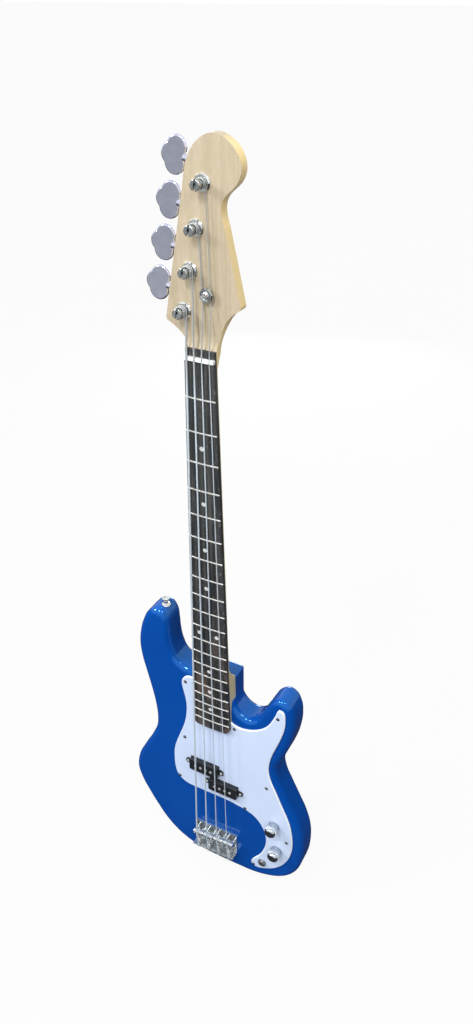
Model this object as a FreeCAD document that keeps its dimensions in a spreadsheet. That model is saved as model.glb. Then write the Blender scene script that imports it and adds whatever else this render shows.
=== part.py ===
import FreeCAD, Part
import math
import os
from types import SimpleNamespace
import Sketcher
from FreeCAD import Placement, Rotation, Vector

# Electric bass guitar, upright as it hangs by its neck, in millimetres.
# The origin is the middle of the nut's playing edge on the fretboard surface.
# X points to the thin string, Y into the instrument and Z along the neck to the head.

SIZES = {
    # Strings
    "scale_length": 863.6,
    "nut_spread": 30.6,
    "saddle_spread": 58,
    "nut_action": 1.5,
    "saddle_crest": 9,
    "setback_e": 6,
    "setback_a": 4.8,
    "setback_d": 3.4,
    "setback_g": 2,
    "string_e": 2.67,
    "string_a": 2.16,
    "string_d": 1.65,
    "string_g": 1.14,
    "winding_turns": 2,
    "winding_gap": 0.45,
    "ball_radius": 2.6,
    # Fretboard, frets, dots and nut
    "fret_count": 20,
    "board_nut_width": 40.5,
    "board_end_width": 63.5,
    "board_thickness": 7,
    "board_crown_radius": 300,
    "board_overhang": 16.5,
    "board_corner": 9,
    "board_tail": 13.5,
    "board_tail_drop": 2.6,
    "fret_width": 2.6,
    "fret_height": 1.1,
    "fret_tang_width": 0.6,
    "fret_tang_depth": 1.8,
    "dot_radius": 3.2,
    "dot_depth": 1.8,
    "dot_pair_spread": 28.5,
    "nut_thickness": 4.5,
    "nut_rise": 2.7,
    "nut_slot_floor": 3.2,
    # Neck and head
    "neck_depth_nut": 21,
    "neck_shoulder": 1.2,
    "neck_depth_heel_start": 23.5,
    "neck_depth_heel": 25.6,
    "heel_length": 104,
    "heel_ramp_length": 24,
    "head_drop": 12.2,
    "head_thickness": 14,
    "head_ramp_radius": 30,
    "head_scoop_length": 37,
    "head_scoop_depth": 9.2,
    "head_corner": 5,
    "truss_rod_radius": 2.5,
    "truss_channel_width": 7,
    "truss_channel_depth": 11,
    "truss_nut_radius": 3.2,
    "truss_nut_length": 12,
    # Tuners
    "tuner_line_x": -25.2,
    "tuner_line_z": 55.3,
    "tuner_pitch": 49,
    "tuner_line_angle": 11.5,
    "post_radius": 4.7,
    "post_cap_radius": 6.4,
    "post_cap_height": 3.2,
    "post_rise": 16.8,
    "post_slot_width": 2.6,
    "post_slot_depth": 3.4,
    "ferrule_radius": 10.2,
    "ferrule_rise": 2.8,
    "ferrule_sleeve_radius": 7.4,
    "ferrule_sleeve_length": 8,
    "tuner_plate_thickness": 2,
    "tuner_plate_width": 27,
    "tuner_plate_length": 42,
    "gear_centre": 12.7,
    "gear_teeth": 20,
    "gear_pitch_radius": 9.7,
    "gear_tooth_height": 1.4,
    "gear_tooth_width": 0.9,
    "gear_thickness": 3.6,
    "gear_lift": 2.3,
    "gear_hub_radius": 6,
    "worm_core_radius": 2.1,
    "worm_thread_width": 0.9,
    "worm_turns": 4,
    "mesh_clearance": 0.2,
    "ear_thickness": 3,
    "ear_width": 8,
    "key_shaft_radius": 2.2,
    "key_reach": 33.7,
    "key_lobe_radius": 13,
    "key_lobe_offset": 8.3,
    "key_end_offset": 5.7,
    "key_thickness": 5,
    "key_edge_round": 2.1,
    # String tree
    "tree_x": 8.0,
    "tree_z": 79,
    "tree_radius": 8.5,
    "tree_thickness": 2.6,
    "tree_rim": 1.7,
    "tree_dish": 1.3,
    "tree_screw_head": 4.3,
    "tree_screw_rise": 1.8,
    "tree_lift": 4.4,
    "tree_stem_radius": 3,
    "tree_string_spread": 10.8,
    # Body
    "body_thickness": 44,
    "pocket_depth": 16,
    "heel_half_width": 31.5,
    "heel_mouth_up": 316,
    "heel_block_length": 41.5,
    "heel_root": 60,
    "heel_corner": 3,
    "heel_edge_round": 4,
    "body_edge_round": 10,
    "control_cavity_depth": 34,
    "pot_cavity_radius": 15,
    "jack_cavity_radius": 12,
    "pickup_cavity_depth": 16,
    "pickup_cavity_margin": 1.6,
    "wire_channel_width": 8,
    # Pickguard
    "guard_thickness": 2.5,
    "guard_bevel": 1.2,
    # Pickup
    "pickup_bass_x": -17.3,
    "pickup_bass_up": 155,
    "pickup_treble_x": 17.3,
    "pickup_half_step": 31,
    "pickup_length": 52,
    "pickup_width": 24,
    "pickup_rise": 8,
    "pickup_height": 15,
    "pickup_wall": 1.5,
    "pickup_corner": 3,
    "pickup_lug_reach": 61.5,
    "pickup_lug_width": 9,
    "pickup_lug_thickness": 3,
    "pole_radius": 2.4,
    "pole_pitch": 9.4,
    "pole_rise": 0.6,
    "flatwork_thickness": 1.6,
    "bobbin_length": 46,
    "bobbin_width": 18,
    "coil_core": 8,
    # Bridge
    "bridge_width": 77.5,
    "bridge_front_up": 9,
    "bridge_length": 46,
    "bridge_plate_thickness": 2,
    "bridge_flange_height": 18,
    "saddle_radius": 5,
    "saddle_length": 17.6,
    "saddle_screw_radius": 1.5,
    "saddle_screw_spread": 13,
    "saddle_screw_drop": 0.5,
    "intonation_screw_radius": 1.6,
    "intonation_screw_back": 2.9,
    "intonation_screw_past": 7,
    "spring_wire_radius": 0.4,
    "spring_coil_radius": 2.4,
    "spring_turns": 10,
    "string_hole_radius": 2,
    "string_hole_below_top": 2.6,
    # Controls and jack
    "volume_x": 108.5,
    "volume_up": 79.6,
    "tone_x": 114.1,
    "tone_up": 21.1,
    "jack_x": 88,
    "jack_up": -28.4,
    "knob_radius": 9.5,
    "knob_height": 19,
    "knob_gap": 0.8,
    "knob_dome": 4.5,
    "knob_recess_radius": 7.9,
    "knob_recess_depth": 4,
    "pot_shaft_radius": 3,
    "pot_shaft_rise": 16,
    "pot_can_radius": 12,
    "pot_can_depth": 9.4,
    "bushing_radius": 4.7,
    "bushing_rise": 4,
    "panel_nut_radius": 7.3,
    "panel_nut_height": 2.3,
    "washer_radius": 7.6,
    "washer_thickness": 0.6,
    "jack_bore_radius": 3.25,
    "jack_flange_radius": 8.5,
    "jack_flange_thickness": 3.4,
    "jack_tube_radius": 5.4,
    "jack_tube_length": 17,
    "contact_width": 5,
    "contact_thickness": 0.6,
    "wire_radius": 0.8,
    "capacitor_radius": 3,
    "capacitor_length": 12,
    # Fasteners and plates
    "neck_plate_width": 51,
    "neck_plate_length": 64,
    "neck_plate_thickness": 1.8,
    "neck_plate_corner": 6,
    "neck_plate_up": 47,
    "neck_screw_inset": 8,
    "neck_screw_radius": 2.3,
    "neck_screw_head": 4.6,
    "neck_screw_length": 44,
    "small_screw_radius": 1.3,
    "small_screw_head": 2.8,
    "small_screw_length": 13,
    "bridge_screw_radius": 1.8,
    "bridge_screw_head": 3.4,
    "bridge_screw_length": 26,
    "strap_button_radius": 5.8,
    "strap_button_waist": 3.5,
    "strap_button_height": 10.8,
    "strap_felt_radius": 7,
    "strap_felt_thickness": 1.6,
    "strap_seat_depth": 2.2,
    "horn_button_x": -90,
    "horn_button_up": 448.4,
    "butt_button_x": 0,
    "butt_button_up": -75,
    "strap_screw_radius": 2,
    "strap_screw_head": 3.1,
    "strap_screw_length": 36,
    # Fits
    "fit": 0.02,
    "running_fit": 0.06,
    "string_fit": 0.3,
    "pocket_fit": 0.15,
}

# Outlines: x and height above the saddle line for the body and the pickguard.
BODY_OUTLINE = [
    (-18, 352.5), (7, 353.5), (20, 351.5), (28, 345), (31, 334), (32, 320), (36.5, 305), (45.5, 295),
    (58.5, 291), (71.5, 297), (81.5, 313), (89.5, 330), (98.5, 346), (111, 353.5), (123.5, 348.5), (132, 333),
    (134.5, 312), (132, 285), (124.5, 255), (114, 226), (107.5, 203), (111, 181), (122, 155), (135, 127),
    (148.5, 97), (157, 65), (158.5, 34), (155.5, 4), (148, -22), (136, -41), (119.5, -55.5), (98.5, -66),
    (72, -73), (36, -75), (0, -75), (-33, -72.5), (-60, -65), (-84.5, -51), (-107, -29), (-124.5, -3),
    (-140, 24), (-152.5, 50), (-159, 78), (-154.5, 106), (-140.5, 137), (-123, 171), (-112.5, 198),
    (-110, 224), (-112, 251), (-117.5, 283), (-124.5, 315), (-130.5, 344), (-132.5, 368), (-130, 392),
    (-123.5, 416), (-113, 437), (-100, 448.5), (-87, 447), (-78.5, 435), (-76, 417), (-75, 398),
    (-71.5, 377), (-63, 359.5), (-46, 351.5),
]
GUARD_OUTLINE = [
    (-28, 338), (-48.5, 337), (-54, 327), (-53, 310), (-48.5, 286), (-49, 259), (-55, 230), (-63, 207),
    (-71, 184), (-76, 162), (-77, 135), (-71, 107), (-56, 95), (-36, 93), (-8.5, 92.8), (18.5, 93),
    (45, 90), (68, 83.5), (83, 69), (91.5, 49), (94, 29.5), (89.5, 5), (80, -16), (68.5, -33.5),
    (67.5, -43.5), (76, -47.5), (91.5, -43), (107, -33.5), (122, -17.5), (134.5, 7), (141, 38), (140, 68),
    (133.5, 100), (122, 128), (109, 159.5), (99.5, 183), (96, 204), (99, 228.5), (107, 255.5), (117, 286.5),
    (121.5, 310), (121.5, 327), (118, 337.5), (112.5, 339), (107.5, 330.5), (101, 313), (91.5, 295.5),
    (78, 282.5), (60.5, 274), (43, 272), (26, 280),
]
GUARD_SCREWS = [
    (-47.3, 328), (37.5, 266), (110.4, 321.5), (-53.7, 204.5), (-67.4, 107), (93.7, 161.5), (55.4, 92),
    (131.3, 50), (71.5, -42.5),
]
# Head outline: x and height above the nut, in three curves joined by straight edges.
HEAD_BASE = (20.3, 8)
HEAD_BASS_CURVE = [(-20.3, 8), (-21.6, 15.5), (-26, 24), (-34.5, 32), (-50.5, 41.5)]
HEAD_TOP_CURVE = [
    (-19.5, 202), (-17, 215.5), (-11.5, 228.5), (-3.5, 239), (6, 246), (16.5, 249.2), (26, 248), (35, 243.5),
    (43.5, 236), (49, 227), (51.2, 217), (48.8, 206), (41, 196), (32.5, 188.5), (27.6, 180.5), (26.5, 171),
    (30.5, 154),
]
HEAD_TREBLE_CURVE = [(50.3, 66), (42, 61), (34, 53.5), (28, 43.5), (23.8, 31), (21.2, 19), (20.3, 8)]
# Frets that carry a dot; the octave carries two.
DOT_FRETS = [3, 5, 7, 9, 12, 15, 17, 19]
OCTAVE = 12
STRINGS = ["e", "a", "d", "g"]


class Size:
    """A length from the sheet, or a formula of such lengths, that knows its own text."""

    def __init__(self, value, text):
        self.value = float(value)
        self.text = text

    def __float__(self):
        return self.value

    def __add__(self, other):
        return join(self, "+", other, lambda a, b: a + b)

    def __radd__(self, other):
        return join(other, "+", self, lambda a, b: a + b)

    def __sub__(self, other):
        return join(self, "-", other, lambda a, b: a - b)

    def __rsub__(self, other):
        return join(other, "-", self, lambda a, b: a - b)

    def __mul__(self, other):
        return join(self, "*", other, lambda a, b: a * b)

    def __rmul__(self, other):
        return join(other, "*", self, lambda a, b: a * b)

    def __truediv__(self, other):
        return join(self, "/", other, lambda a, b: a / b)

    def __neg__(self):
        return 0 - self


def as_size(number):
    return number if isinstance(number, Size) else Size(number, f"({float(number):.9g})")


def join(left, sign, right, work):
    left, right = as_size(left), as_size(right)
    return Size(work(left.value, right.value), f"({left.text} {sign} {right.text})")


doc = FreeCAD.newDocument("electric_bass")
sheet = doc.addObject("Spreadsheet::Sheet", "sizes")
for row, (name, value) in enumerate(SIZES.items(), start=1):
    sheet.set(f"A{row}", name)
    sheet.set(f"B{row}", str(value))
    sheet.setAlias(f"B{row}", name)
doc.recompute()
size = SimpleNamespace(**{name: Size(sheet.get(name), f"sizes.{name}") for name in SIZES})
parts = {}

TO_BACK = Rotation()
TO_FRONT = Rotation(Vector(1, 0, 0), 180)
TO_HEAD = Rotation(Vector(1, 0, 0), 90)
TO_BUTT = Rotation(Vector(1, 0, 0), -90)


def bind(item, path, value):
    """Tie one property to the sheet."""
    item.setExpression(path, as_size(value).text)


def place(item, at, turn=TO_BACK):
    item.Placement = Placement(Vector(*[float(value) for value in at]), turn)
    for axis, value in zip("xyz", at):
        bind(item, f"Placement.Base.{axis}", value)
    return item


def keep(label, item):
    """Hand a finished piece in under its own name."""
    item.Label = label
    parts[label] = item
    return item


def tie_corner(sketch, line, direction, axis, value):
    if float(value) == 0:
        sketch.addConstraint(Sketcher.Constraint("PointOnObject", line, 1, axis))
        return
    index = sketch.addConstraint(Sketcher.Constraint(direction, -1, 1, line, 1, float(value)))
    sketch.setExpression(f"Constraints[{index}]", as_size(value).text)


def polygon(sketch, corners):
    """Closed straight outline whose corner coordinates stay tied to the sheet."""
    points = [Vector(float(u), float(v), 0) for u, v in corners]
    count = len(points)
    for i in range(count):
        sketch.addGeometry(Part.LineSegment(points[i], points[(i + 1) % count]))
    for i in range(count):
        sketch.addConstraint(Sketcher.Constraint("Coincident", i, 2, (i + 1) % count, 1))
    for i, (u, v) in enumerate(corners):
        tie_corner(sketch, i, "DistanceX", -2, u)
        tie_corner(sketch, i, "DistanceY", -1, v)


def spline(points, closed):
    curve = Part.BSplineCurve()
    curve.interpolate(Points=[Vector(u, v, 0) for u, v in points], PeriodicFlag=closed)
    return curve


def new_sketch(body, role):
    sketch = body.newObject("Sketcher::SketchObject", body.Name + "_sketch")
    plane = next(item for item in body.Origin.OriginFeatures if item.Role == role)
    sketch.AttachmentSupport = [(plane, "")]
    sketch.MapMode = "FlatFace"
    return sketch


def turned(label, corners, at=(0, 0, 0), turn=TO_BACK):
    """Lathe work: (radius, height) corners spun about the height axis."""
    body = doc.addObject("PartDesign::Body", label)
    sketch = new_sketch(body, "XY_Plane")
    polygon(sketch, corners)
    spin = body.newObject("PartDesign::Revolution", label + "_spin")
    spin.Profile = sketch
    spin.ReferenceAxis = (sketch, ["V_Axis"])
    spin.Angle = 360
    return place(body, at, turn)


def flat_piece(label, draw, front, depth, x=0, z=0):
    """A flat outline in x and z, as thick as depth behind its front face."""
    body = doc.addObject("PartDesign::Body", label)
    sketch = new_sketch(body, "XZ_Plane")
    draw(sketch)
    pad = body.newObject("PartDesign::Pad", label + "_pad")
    pad.Profile = sketch
    pad.Reversed = True
    bind(pad, "Length", depth)
    return place(body, (x, front, z))


def dress(body, kind, property_name, amount, chosen):
    """Round or bevel the edges of a body that the test picks out."""
    doc.recompute()
    base = body.Tip
    names = [f"Edge{i}" for i, edge in enumerate(base.Shape.Edges, start=1) if chosen(edge)]
    finish = body.newObject("PartDesign::" + kind, f"{body.Name}_{kind.lower()}")
    finish.Base = (base, names)
    bind(finish, property_name, amount)
    return body


def round_off(body, radius, chosen):
    return dress(body, "Fillet", "Radius", radius, chosen)


def at_depth(depth):
    """Test for edges that lie wholly at one depth of a flat piece."""
    return lambda edge: max(abs(edge.BoundBox.YMin - depth), abs(edge.BoundBox.YMax - depth)) < 0.01


def runs_deep(edge):
    """Test for straight edges that run from front to back."""
    return edge.BoundBox.YLength > 0.5 and edge.BoundBox.XLength + edge.BoundBox.ZLength < 0.01


def box(label, x_span, y_span, z_span):
    item = doc.addObject("Part::Box", label)
    bind(item, "Length", x_span[1] - as_size(x_span[0]))
    bind(item, "Width", y_span[1] - as_size(y_span[0]))
    bind(item, "Height", z_span[1] - as_size(z_span[0]))
    return place(item, (x_span[0], y_span[0], z_span[0]))


def rod(label, radius, length, at=(0, 0, 0), turn=None):
    """A round bar whose length runs back from its place, or as the turn says."""
    item = doc.addObject("Part::Cylinder", label)
    bind(item, "Radius", radius)
    bind(item, "Height", length)
    return place(item, at, turn or Rotation(Vector(1, 0, 0), -90))


def cross_bar(label, radius, length, at):
    """A round bar across the instrument, centred on its place."""
    x, y, z = at
    return rod(label, radius, length, (x - as_size(length) / 2, y, z), Rotation(Vector(0, 1, 0), 90))


def fuse(label, *pieces):
    item = doc.addObject("Part::MultiFuse", label)
    item.Shapes = list(pieces)
    return item


def cut(label, base, *tools):
    item = doc.addObject("Part::Cut", label)
    item.Base = base
    item.Tool = tools[0] if len(tools) == 1 else fuse(label + "_tools", *tools)
    return item


def moved(shape, spot):
    copy = shape.copy()
    copy.Placement = spot.multiply(copy.Placement)
    return copy


def copies(label, pattern, spots):
    """Equal solids in one piece: the pattern's shape at each spot."""
    doc.recompute()
    item = doc.addObject("Part::Feature", label)
    item.Shape = Part.makeCompound([moved(pattern.Shape, spot) for spot in spots])
    return item


def shaped(label, shape):
    item = doc.addObject("Part::Feature", label)
    item.Shape = shape
    return item


def spot(x, y, z, turn=TO_BACK):
    return Placement(Vector(float(x), float(y), float(z)), turn)


def screw(label, head_radius, head_height, shank_radius, length):
    """Slotted screw: the head stands in front of the origin, the shank runs back from it."""
    blank = turned(label + "_blank", [
        (0, -head_height), (head_radius * 0.6, -head_height), (head_radius, -head_height / 3),
        (head_radius, 0), (shank_radius, 0), (shank_radius, length - shank_radius * 2), (0, length),
    ])
    half_slot = head_radius * 0.14
    slot = box(label + "_slot", (-head_radius, head_radius), (-head_height * 1.1, -head_height / 2),
               (-half_slot, half_slot))
    return cut(label, blank, slot)


# Curves in space

def unit(vector):
    return vector * (1 / vector.Length)


def line(start, end):
    return Part.LineSegment(start, end).toShape()


def arc(start, corner, end):
    """The arc that leaves start towards the corner and comes from it into the end."""
    weight = (end - start).Length / 2 / (corner - start).Length
    crown = (start + corner * (2 * weight) + end) * (1 / (2 + 2 * weight))
    return Part.Arc(start, crown, end).toShape()


def biarc(start, start_way, end, end_way):
    """Two tangent arcs from one point and direction to another."""
    span = end - start
    both = start_way + end_way
    spread = 2 * (1 - start_way.dot(end_way))
    along = span.dot(both)
    reach = (-along + math.sqrt(along ** 2 + spread * span.dot(span))) / spread
    first = start + start_way * reach
    last = end - end_way * reach
    middle = (first + last) * 0.5
    return [arc(start, first, middle), arc(middle, last, end)]


def rounded_outline(points):
    """Closed chain of tangent arcs: at each point it runs like the circle through its neighbours."""
    spots = [Vector(u, v, 0) for u, v in points]
    following = spots[1:] + spots[:1]
    ways = []
    for before, here, after in zip(spots[-1:] + spots[:-1], spots, following):
        into, out = here - before, after - here
        ways.append(unit(into * (1 / into.dot(into)) + out * (1 / out.dot(out))))
    edges = []
    for here, way, after, next_way in zip(spots, ways, following, ways[1:] + ways[:1]):
        edges += biarc(here, way, after, next_way)
    return [Part.ArcOfCircle(edge.Curve, edge.FirstParameter, edge.LastParameter) for edge in edges]


def route(points, radii):
    """Straight runs joined by tangent arcs, one radius for each inner point."""
    edges = []
    here = points[0]
    for before, corner, after, radius in zip(points, points[1:], points[2:], radii):
        into = unit(corner - before)
        out = unit(after - corner)
        back = radius * math.tan(into.getAngle(out) / 2)
        edges.append(line(here, corner - into * back))
        here = corner + out * back
        edges.append(arc(corner - into * back, corner, here))
    edges.append(line(here, points[-1]))
    return edges


def soft_route(points):
    """A route whose bends are as large as their two runs allow."""
    radii = []
    for before, corner, after in zip(points, points[1:], points[2:]):
        turn = (corner - before).getAngle(after - corner)
        shorter = min((corner - before).Length, (after - corner).Length)
        radii.append(0.45 * shorter / math.tan(turn / 2))
    return route(points, radii)


def tube(edges, radius):
    first = edges[0]
    start = first.valueAt(first.FirstParameter)
    way = first.tangentAt(first.FirstParameter)
    ring = Part.Wire([Part.makeCircle(radius, start, way)])
    return Part.Wire(edges).makePipeShell([ring], True, False)


def helix(centre, radius, start_angle, turns, start_height, rise):
    """Points and directions every half turn of a coil about the Y axis through the centre."""
    steps = int(round(turns * 2))
    slope = rise / (2 * math.pi)
    stations = []
    for step in range(steps + 1):
        angle = start_angle + math.pi * step
        point = Vector(centre.x + radius * math.cos(angle), start_height + rise * step / 2,
                       centre.z + radius * math.sin(angle))
        way = unit(Vector(-radius * math.sin(angle), slope, radius * math.cos(angle)))
        stations.append((point, way))
    return stations


def coil_edges(stations):
    edges = []
    for (start, start_way), (end, end_way) in zip(stations, stations[1:]):
        edges += biarc(start, start_way, end, end_way)
    return edges


def least_gap(label, edges, diameter):
    """Smallest clear distance between neighbouring turns, measured on points."""
    points = []
    for edge in edges:
        points += edge.discretize(9)[:-1]
    turn = 4 * 8
    gaps = [(one - other).Length for i, one in enumerate(points) for other in points[i + turn // 2:]]
    print(f"{label}: least gap between turns {min(gaps) - diameter:.2f} mm")


# Places that several pieces share

def fret_place(number):
    """Distance of a fret from the nut."""
    value = float(size.scale_length) * (1 - 2 ** (-float(number) / 12))
    return Size(value, f"(sizes.scale_length * (1 - 2 ^ (-{as_size(number).text} / 12)))")


neck_end = fret_place(size.fret_count) + size.board_overhang
heel_top = neck_end - size.heel_length
saddle_line = -size.scale_length
body_front = size.neck_depth_heel - size.pocket_depth
body_back = body_front + size.body_thickness
guard_front = body_front - size.guard_thickness
pickup_top = guard_front - size.pickup_rise
plate_top = body_front - size.bridge_plate_thickness
flange_front = saddle_line + size.bridge_front_up - size.bridge_length + size.bridge_plate_thickness
flange_top = body_front - size.bridge_flange_height
head_back = size.head_drop + size.head_thickness
post_top = size.head_drop - size.post_rise
tuner_plate_back = head_back + size.tuner_plate_thickness
gear_front = tuner_plate_back + size.gear_lift
worm_depth = gear_front + size.gear_thickness / 2
volume_spot = (size.volume_x, saddle_line + size.volume_up)
tone_spot = (size.tone_x, saddle_line + size.tone_up)
jack_spot = (size.jack_x, saddle_line + size.jack_up)
heel_up = size.heel_mouth_up + size.heel_block_length
pickup_spots = [
    (size.pickup_bass_x, saddle_line + size.pickup_bass_up),
    (size.pickup_treble_x, saddle_line + size.pickup_bass_up - size.pickup_half_step),
]


def board_half(distance):
    """Half the fretboard's width at a distance below the nut."""
    growth = (size.board_end_width - size.board_nut_width) / neck_end
    return (size.board_nut_width + growth * distance) / 2


def string_radius(name):
    return getattr(size, "string_" + name) / 2


def saddle_height(name):
    """Height of a saddle: the saddle line less the setback that keeps the string in tune."""
    return saddle_line - getattr(size, "setback_" + name)


def string_x(index, spread):
    """Strings share their spread evenly, thick string first."""
    return spread * (index / (len(STRINGS) - 1) - 0.5)


def tuner_spot(index, depth=0):
    """Frame of one tuner: post at its origin, Z along the row to the tip of the head."""
    angle = math.radians(float(size.tuner_line_angle))
    along = float(size.tuner_pitch) * index
    x = float(size.tuner_line_x) + along * math.sin(angle)
    z = float(size.tuner_line_z) + along * math.cos(angle)
    return spot(x, depth, z, Rotation(Vector(0, 1, 0), float(size.tuner_line_angle)))


TUNERS = [tuner_spot(index) for index in range(len(STRINGS))]
neck_plate_z = -neck_end + size.neck_plate_up


def neck_screw_spots(depth):
    dx = float(size.neck_plate_width / 2 - size.neck_screw_inset)
    dz = float(size.neck_plate_length / 2 - size.neck_screw_inset)
    return [spot(x, depth, float(neck_plate_z) + z, TO_FRONT) for x in (-dx, dx) for z in (-dz, dz)]


def guard_screw_spots(depth):
    return [spot(x, depth, up + float(saddle_line)) for x, up in GUARD_SCREWS]


def pickup_screw_spots(depth):
    reach = float(size.pickup_lug_reach) / 2
    return [spot(float(x) + side * reach, depth, z) for x, z in pickup_spots for side in (-1, 1)]


def bridge_screw_spots(depth):
    gap = float(size.bridge_width) / 6
    z = float(flange_front) + 2.4 * float(size.bridge_screw_head)
    return [spot(gap * step, depth, z) for step in (-2.4, -1.2, 0, 1.2, 2.4)]


def tuner_screw_spots(depth):
    dx = float(size.tuner_plate_width) / 2 - 1.5 * float(size.small_screw_head)
    inset = float(size.small_screw_head) * 1.4
    low = -float(size.tuner_plate_length) / 2 + float(size.gear_centre) / 2 + inset
    high = low + float(size.tuner_plate_length) - inset * 2
    corners = [spot(x, depth, z, TO_FRONT) for x in (-dx, dx) for z in (low, high)]
    return [tuner.multiply(corner) for tuner in TUNERS for corner in corners]


def neck_plan(label, front, depth, top, margin):
    """The fretboard's plan with its rounded end, from a height to the end of the neck."""
    wide = board_half(-top) + margin
    end = board_half(neck_end) + margin
    bottom = -neck_end - margin
    corners = [(-wide, top), (wide, top), (end, bottom), (-end, bottom)]
    plan = flat_piece(label, lambda sketch: polygon(sketch, corners), front, depth)
    return round_off(plan, size.board_corner + margin,
                     lambda edge: runs_deep(edge) and edge.BoundBox.ZMax < float(bottom) + 1)


# Neck, fretboard and nut

def neck_section(height, half_width, depth, shoulder):
    """Flat towards the fretboard, straight shoulders, one arc at the back."""
    half, top = float(half_width), float(height)
    front = float(size.board_thickness)
    waist = front + float(shoulder)
    left, low_left = Vector(-half, front, top), Vector(-half, waist, top)
    right, low_right = Vector(half, front, top), Vector(half, waist, top)
    back = Part.Arc(low_right, Vector(0, float(depth), top), low_left).toShape()
    return Part.Wire([line(left, right), line(right, low_right), back, line(low_left, left)])


def draw_head(sketch):
    sketch.addGeometry(spline(HEAD_BASS_CURVE, False))
    sketch.addGeometry(Part.LineSegment(Vector(*HEAD_BASS_CURVE[-1], 0), Vector(*HEAD_TOP_CURVE[0], 0)))
    sketch.addGeometry(spline(HEAD_TOP_CURVE, False))
    sketch.addGeometry(Part.LineSegment(Vector(*HEAD_TOP_CURVE[-1], 0), Vector(*HEAD_TREBLE_CURVE[0], 0)))
    sketch.addGeometry(spline(HEAD_TREBLE_CURVE, False))
    sketch.addGeometry(Part.LineSegment(Vector(*HEAD_TREBLE_CURVE[-1], 0), Vector(*HEAD_BASS_CURVE[0], 0)))


def make_neck():
    ramp_height = float(size.head_drop - size.board_thickness)
    ramp_length = math.sqrt(2 * float(size.head_ramp_radius) * ramp_height - ramp_height ** 2)
    tail_half = board_half(-size.board_tail)
    scoop_radius = (size.head_scoop_length * size.head_scoop_length
                    + size.head_scoop_depth * size.head_scoop_depth) / (2 * size.head_scoop_depth)
    slim = size.neck_shoulder
    throat_top = size.board_tail + ramp_length
    throat_back = head_back - size.head_scoop_depth
    throat_wall = throat_back - size.board_thickness
    throat_foot = as_size(HEAD_BASE[1])
    throat_end = size.nut_thickness * 2
    heel_wall = size.neck_depth_heel - size.board_thickness
    heel_end = heel_top + size.board_corner
    ramp_top = heel_top - size.heel_ramp_length
    sections = [
        neck_section(throat_top, tail_half, throat_back + 0.5, throat_wall),
        neck_section(throat_foot, board_half(-throat_foot), throat_back + 1.5, throat_wall),
        neck_section(-throat_end, board_half(throat_end), size.neck_depth_nut, slim),
        neck_section(-ramp_top, board_half(ramp_top), size.neck_depth_heel_start, slim),
        neck_section(-heel_end, board_half(heel_top), size.neck_depth_heel, heel_wall - 1),
    ]
    shaft = shaped("neck_shaft", Part.makeLoft(sections, True, True))
    heel = neck_plan("neck_heel", size.board_thickness, heel_wall, -heel_top, 0)
    slab = flat_piece("neck_head_slab", draw_head, size.head_drop, size.head_thickness)
    sharp = [HEAD_BASS_CURVE[-1], HEAD_TREBLE_CURVE[0]]
    round_off(slab, size.head_corner, lambda edge: runs_deep(edge) and any(
        abs(edge.BoundBox.XMin - x) + abs(edge.BoundBox.ZMin - z) < 0.1 for x, z in sharp))
    scoop = cross_bar("neck_head_scoop", scoop_radius, size.body_thickness * 4,
                      (0, head_back - size.head_scoop_depth + scoop_radius, HEAD_BASE[1]))
    head = cut("neck_head", slab, scoop)
    hollow = cross_bar("neck_ramp", size.head_ramp_radius, size.body_thickness * 4,
                       (0, size.head_drop - size.head_ramp_radius, throat_top))
    blank = fuse("neck_blank", cut("neck_throat", shaft, hollow), heel, head)
    half_channel = size.truss_channel_width / 2
    channel = box("neck_channel", (-half_channel, half_channel),
                  (size.board_thickness, size.board_thickness + size.truss_channel_depth),
                  (-neck_end - 1, -size.nut_thickness * 3))
    sleeve = rod("neck_sleeve_bore", size.ferrule_sleeve_radius + size.fit, size.ferrule_sleeve_length)
    shank = rod("neck_post_bore", size.post_radius + size.string_fit, size.head_thickness + 2)
    front_spots = [tuner.multiply(spot(0, size.head_drop, 0)) for tuner in TUNERS]
    back_spots = [tuner.multiply(spot(0, size.head_drop - 1, 0)) for tuner in TUNERS]
    pilot = rod("neck_pilot", size.small_screw_radius + size.fit, size.small_screw_length)
    bolt = rod("neck_bolt_hole", size.neck_screw_radius + size.fit, size.neck_screw_length)
    tree_hole = rod("neck_tree_hole", size.small_screw_radius + size.fit, size.small_screw_length,
                    (size.tree_x, size.head_drop - 1, size.tree_z))
    keep("neck", cut(
        "neck_cut", blank, channel,
        copies("neck_sleeve_bores", sleeve, front_spots),
        copies("neck_post_bores", shank, back_spots),
        copies("neck_pilots", pilot, tuner_screw_spots(head_back)),
        copies("neck_bolt_holes", bolt, neck_screw_spots(body_back + size.neck_plate_thickness)),
        tree_hole))


def crown_bar(label, inset=0):
    """The long cylinder whose front is the fretboard's crowned surface."""
    radius = size.board_crown_radius - inset
    start = -neck_end - size.heel_length
    return rod(label, radius, neck_end + size.scale_length, (0, size.board_crown_radius, start), Rotation())


def dot_spots(depth):
    spots = []
    for number in DOT_FRETS:
        z = -float(fret_place(number - 1) + fret_place(number)) / 2
        side = float(size.dot_pair_spread) / 2
        spots += [spot(x, depth, z) for x in ((-side, side) if number == OCTAVE else (0,))]
    return spots


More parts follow.
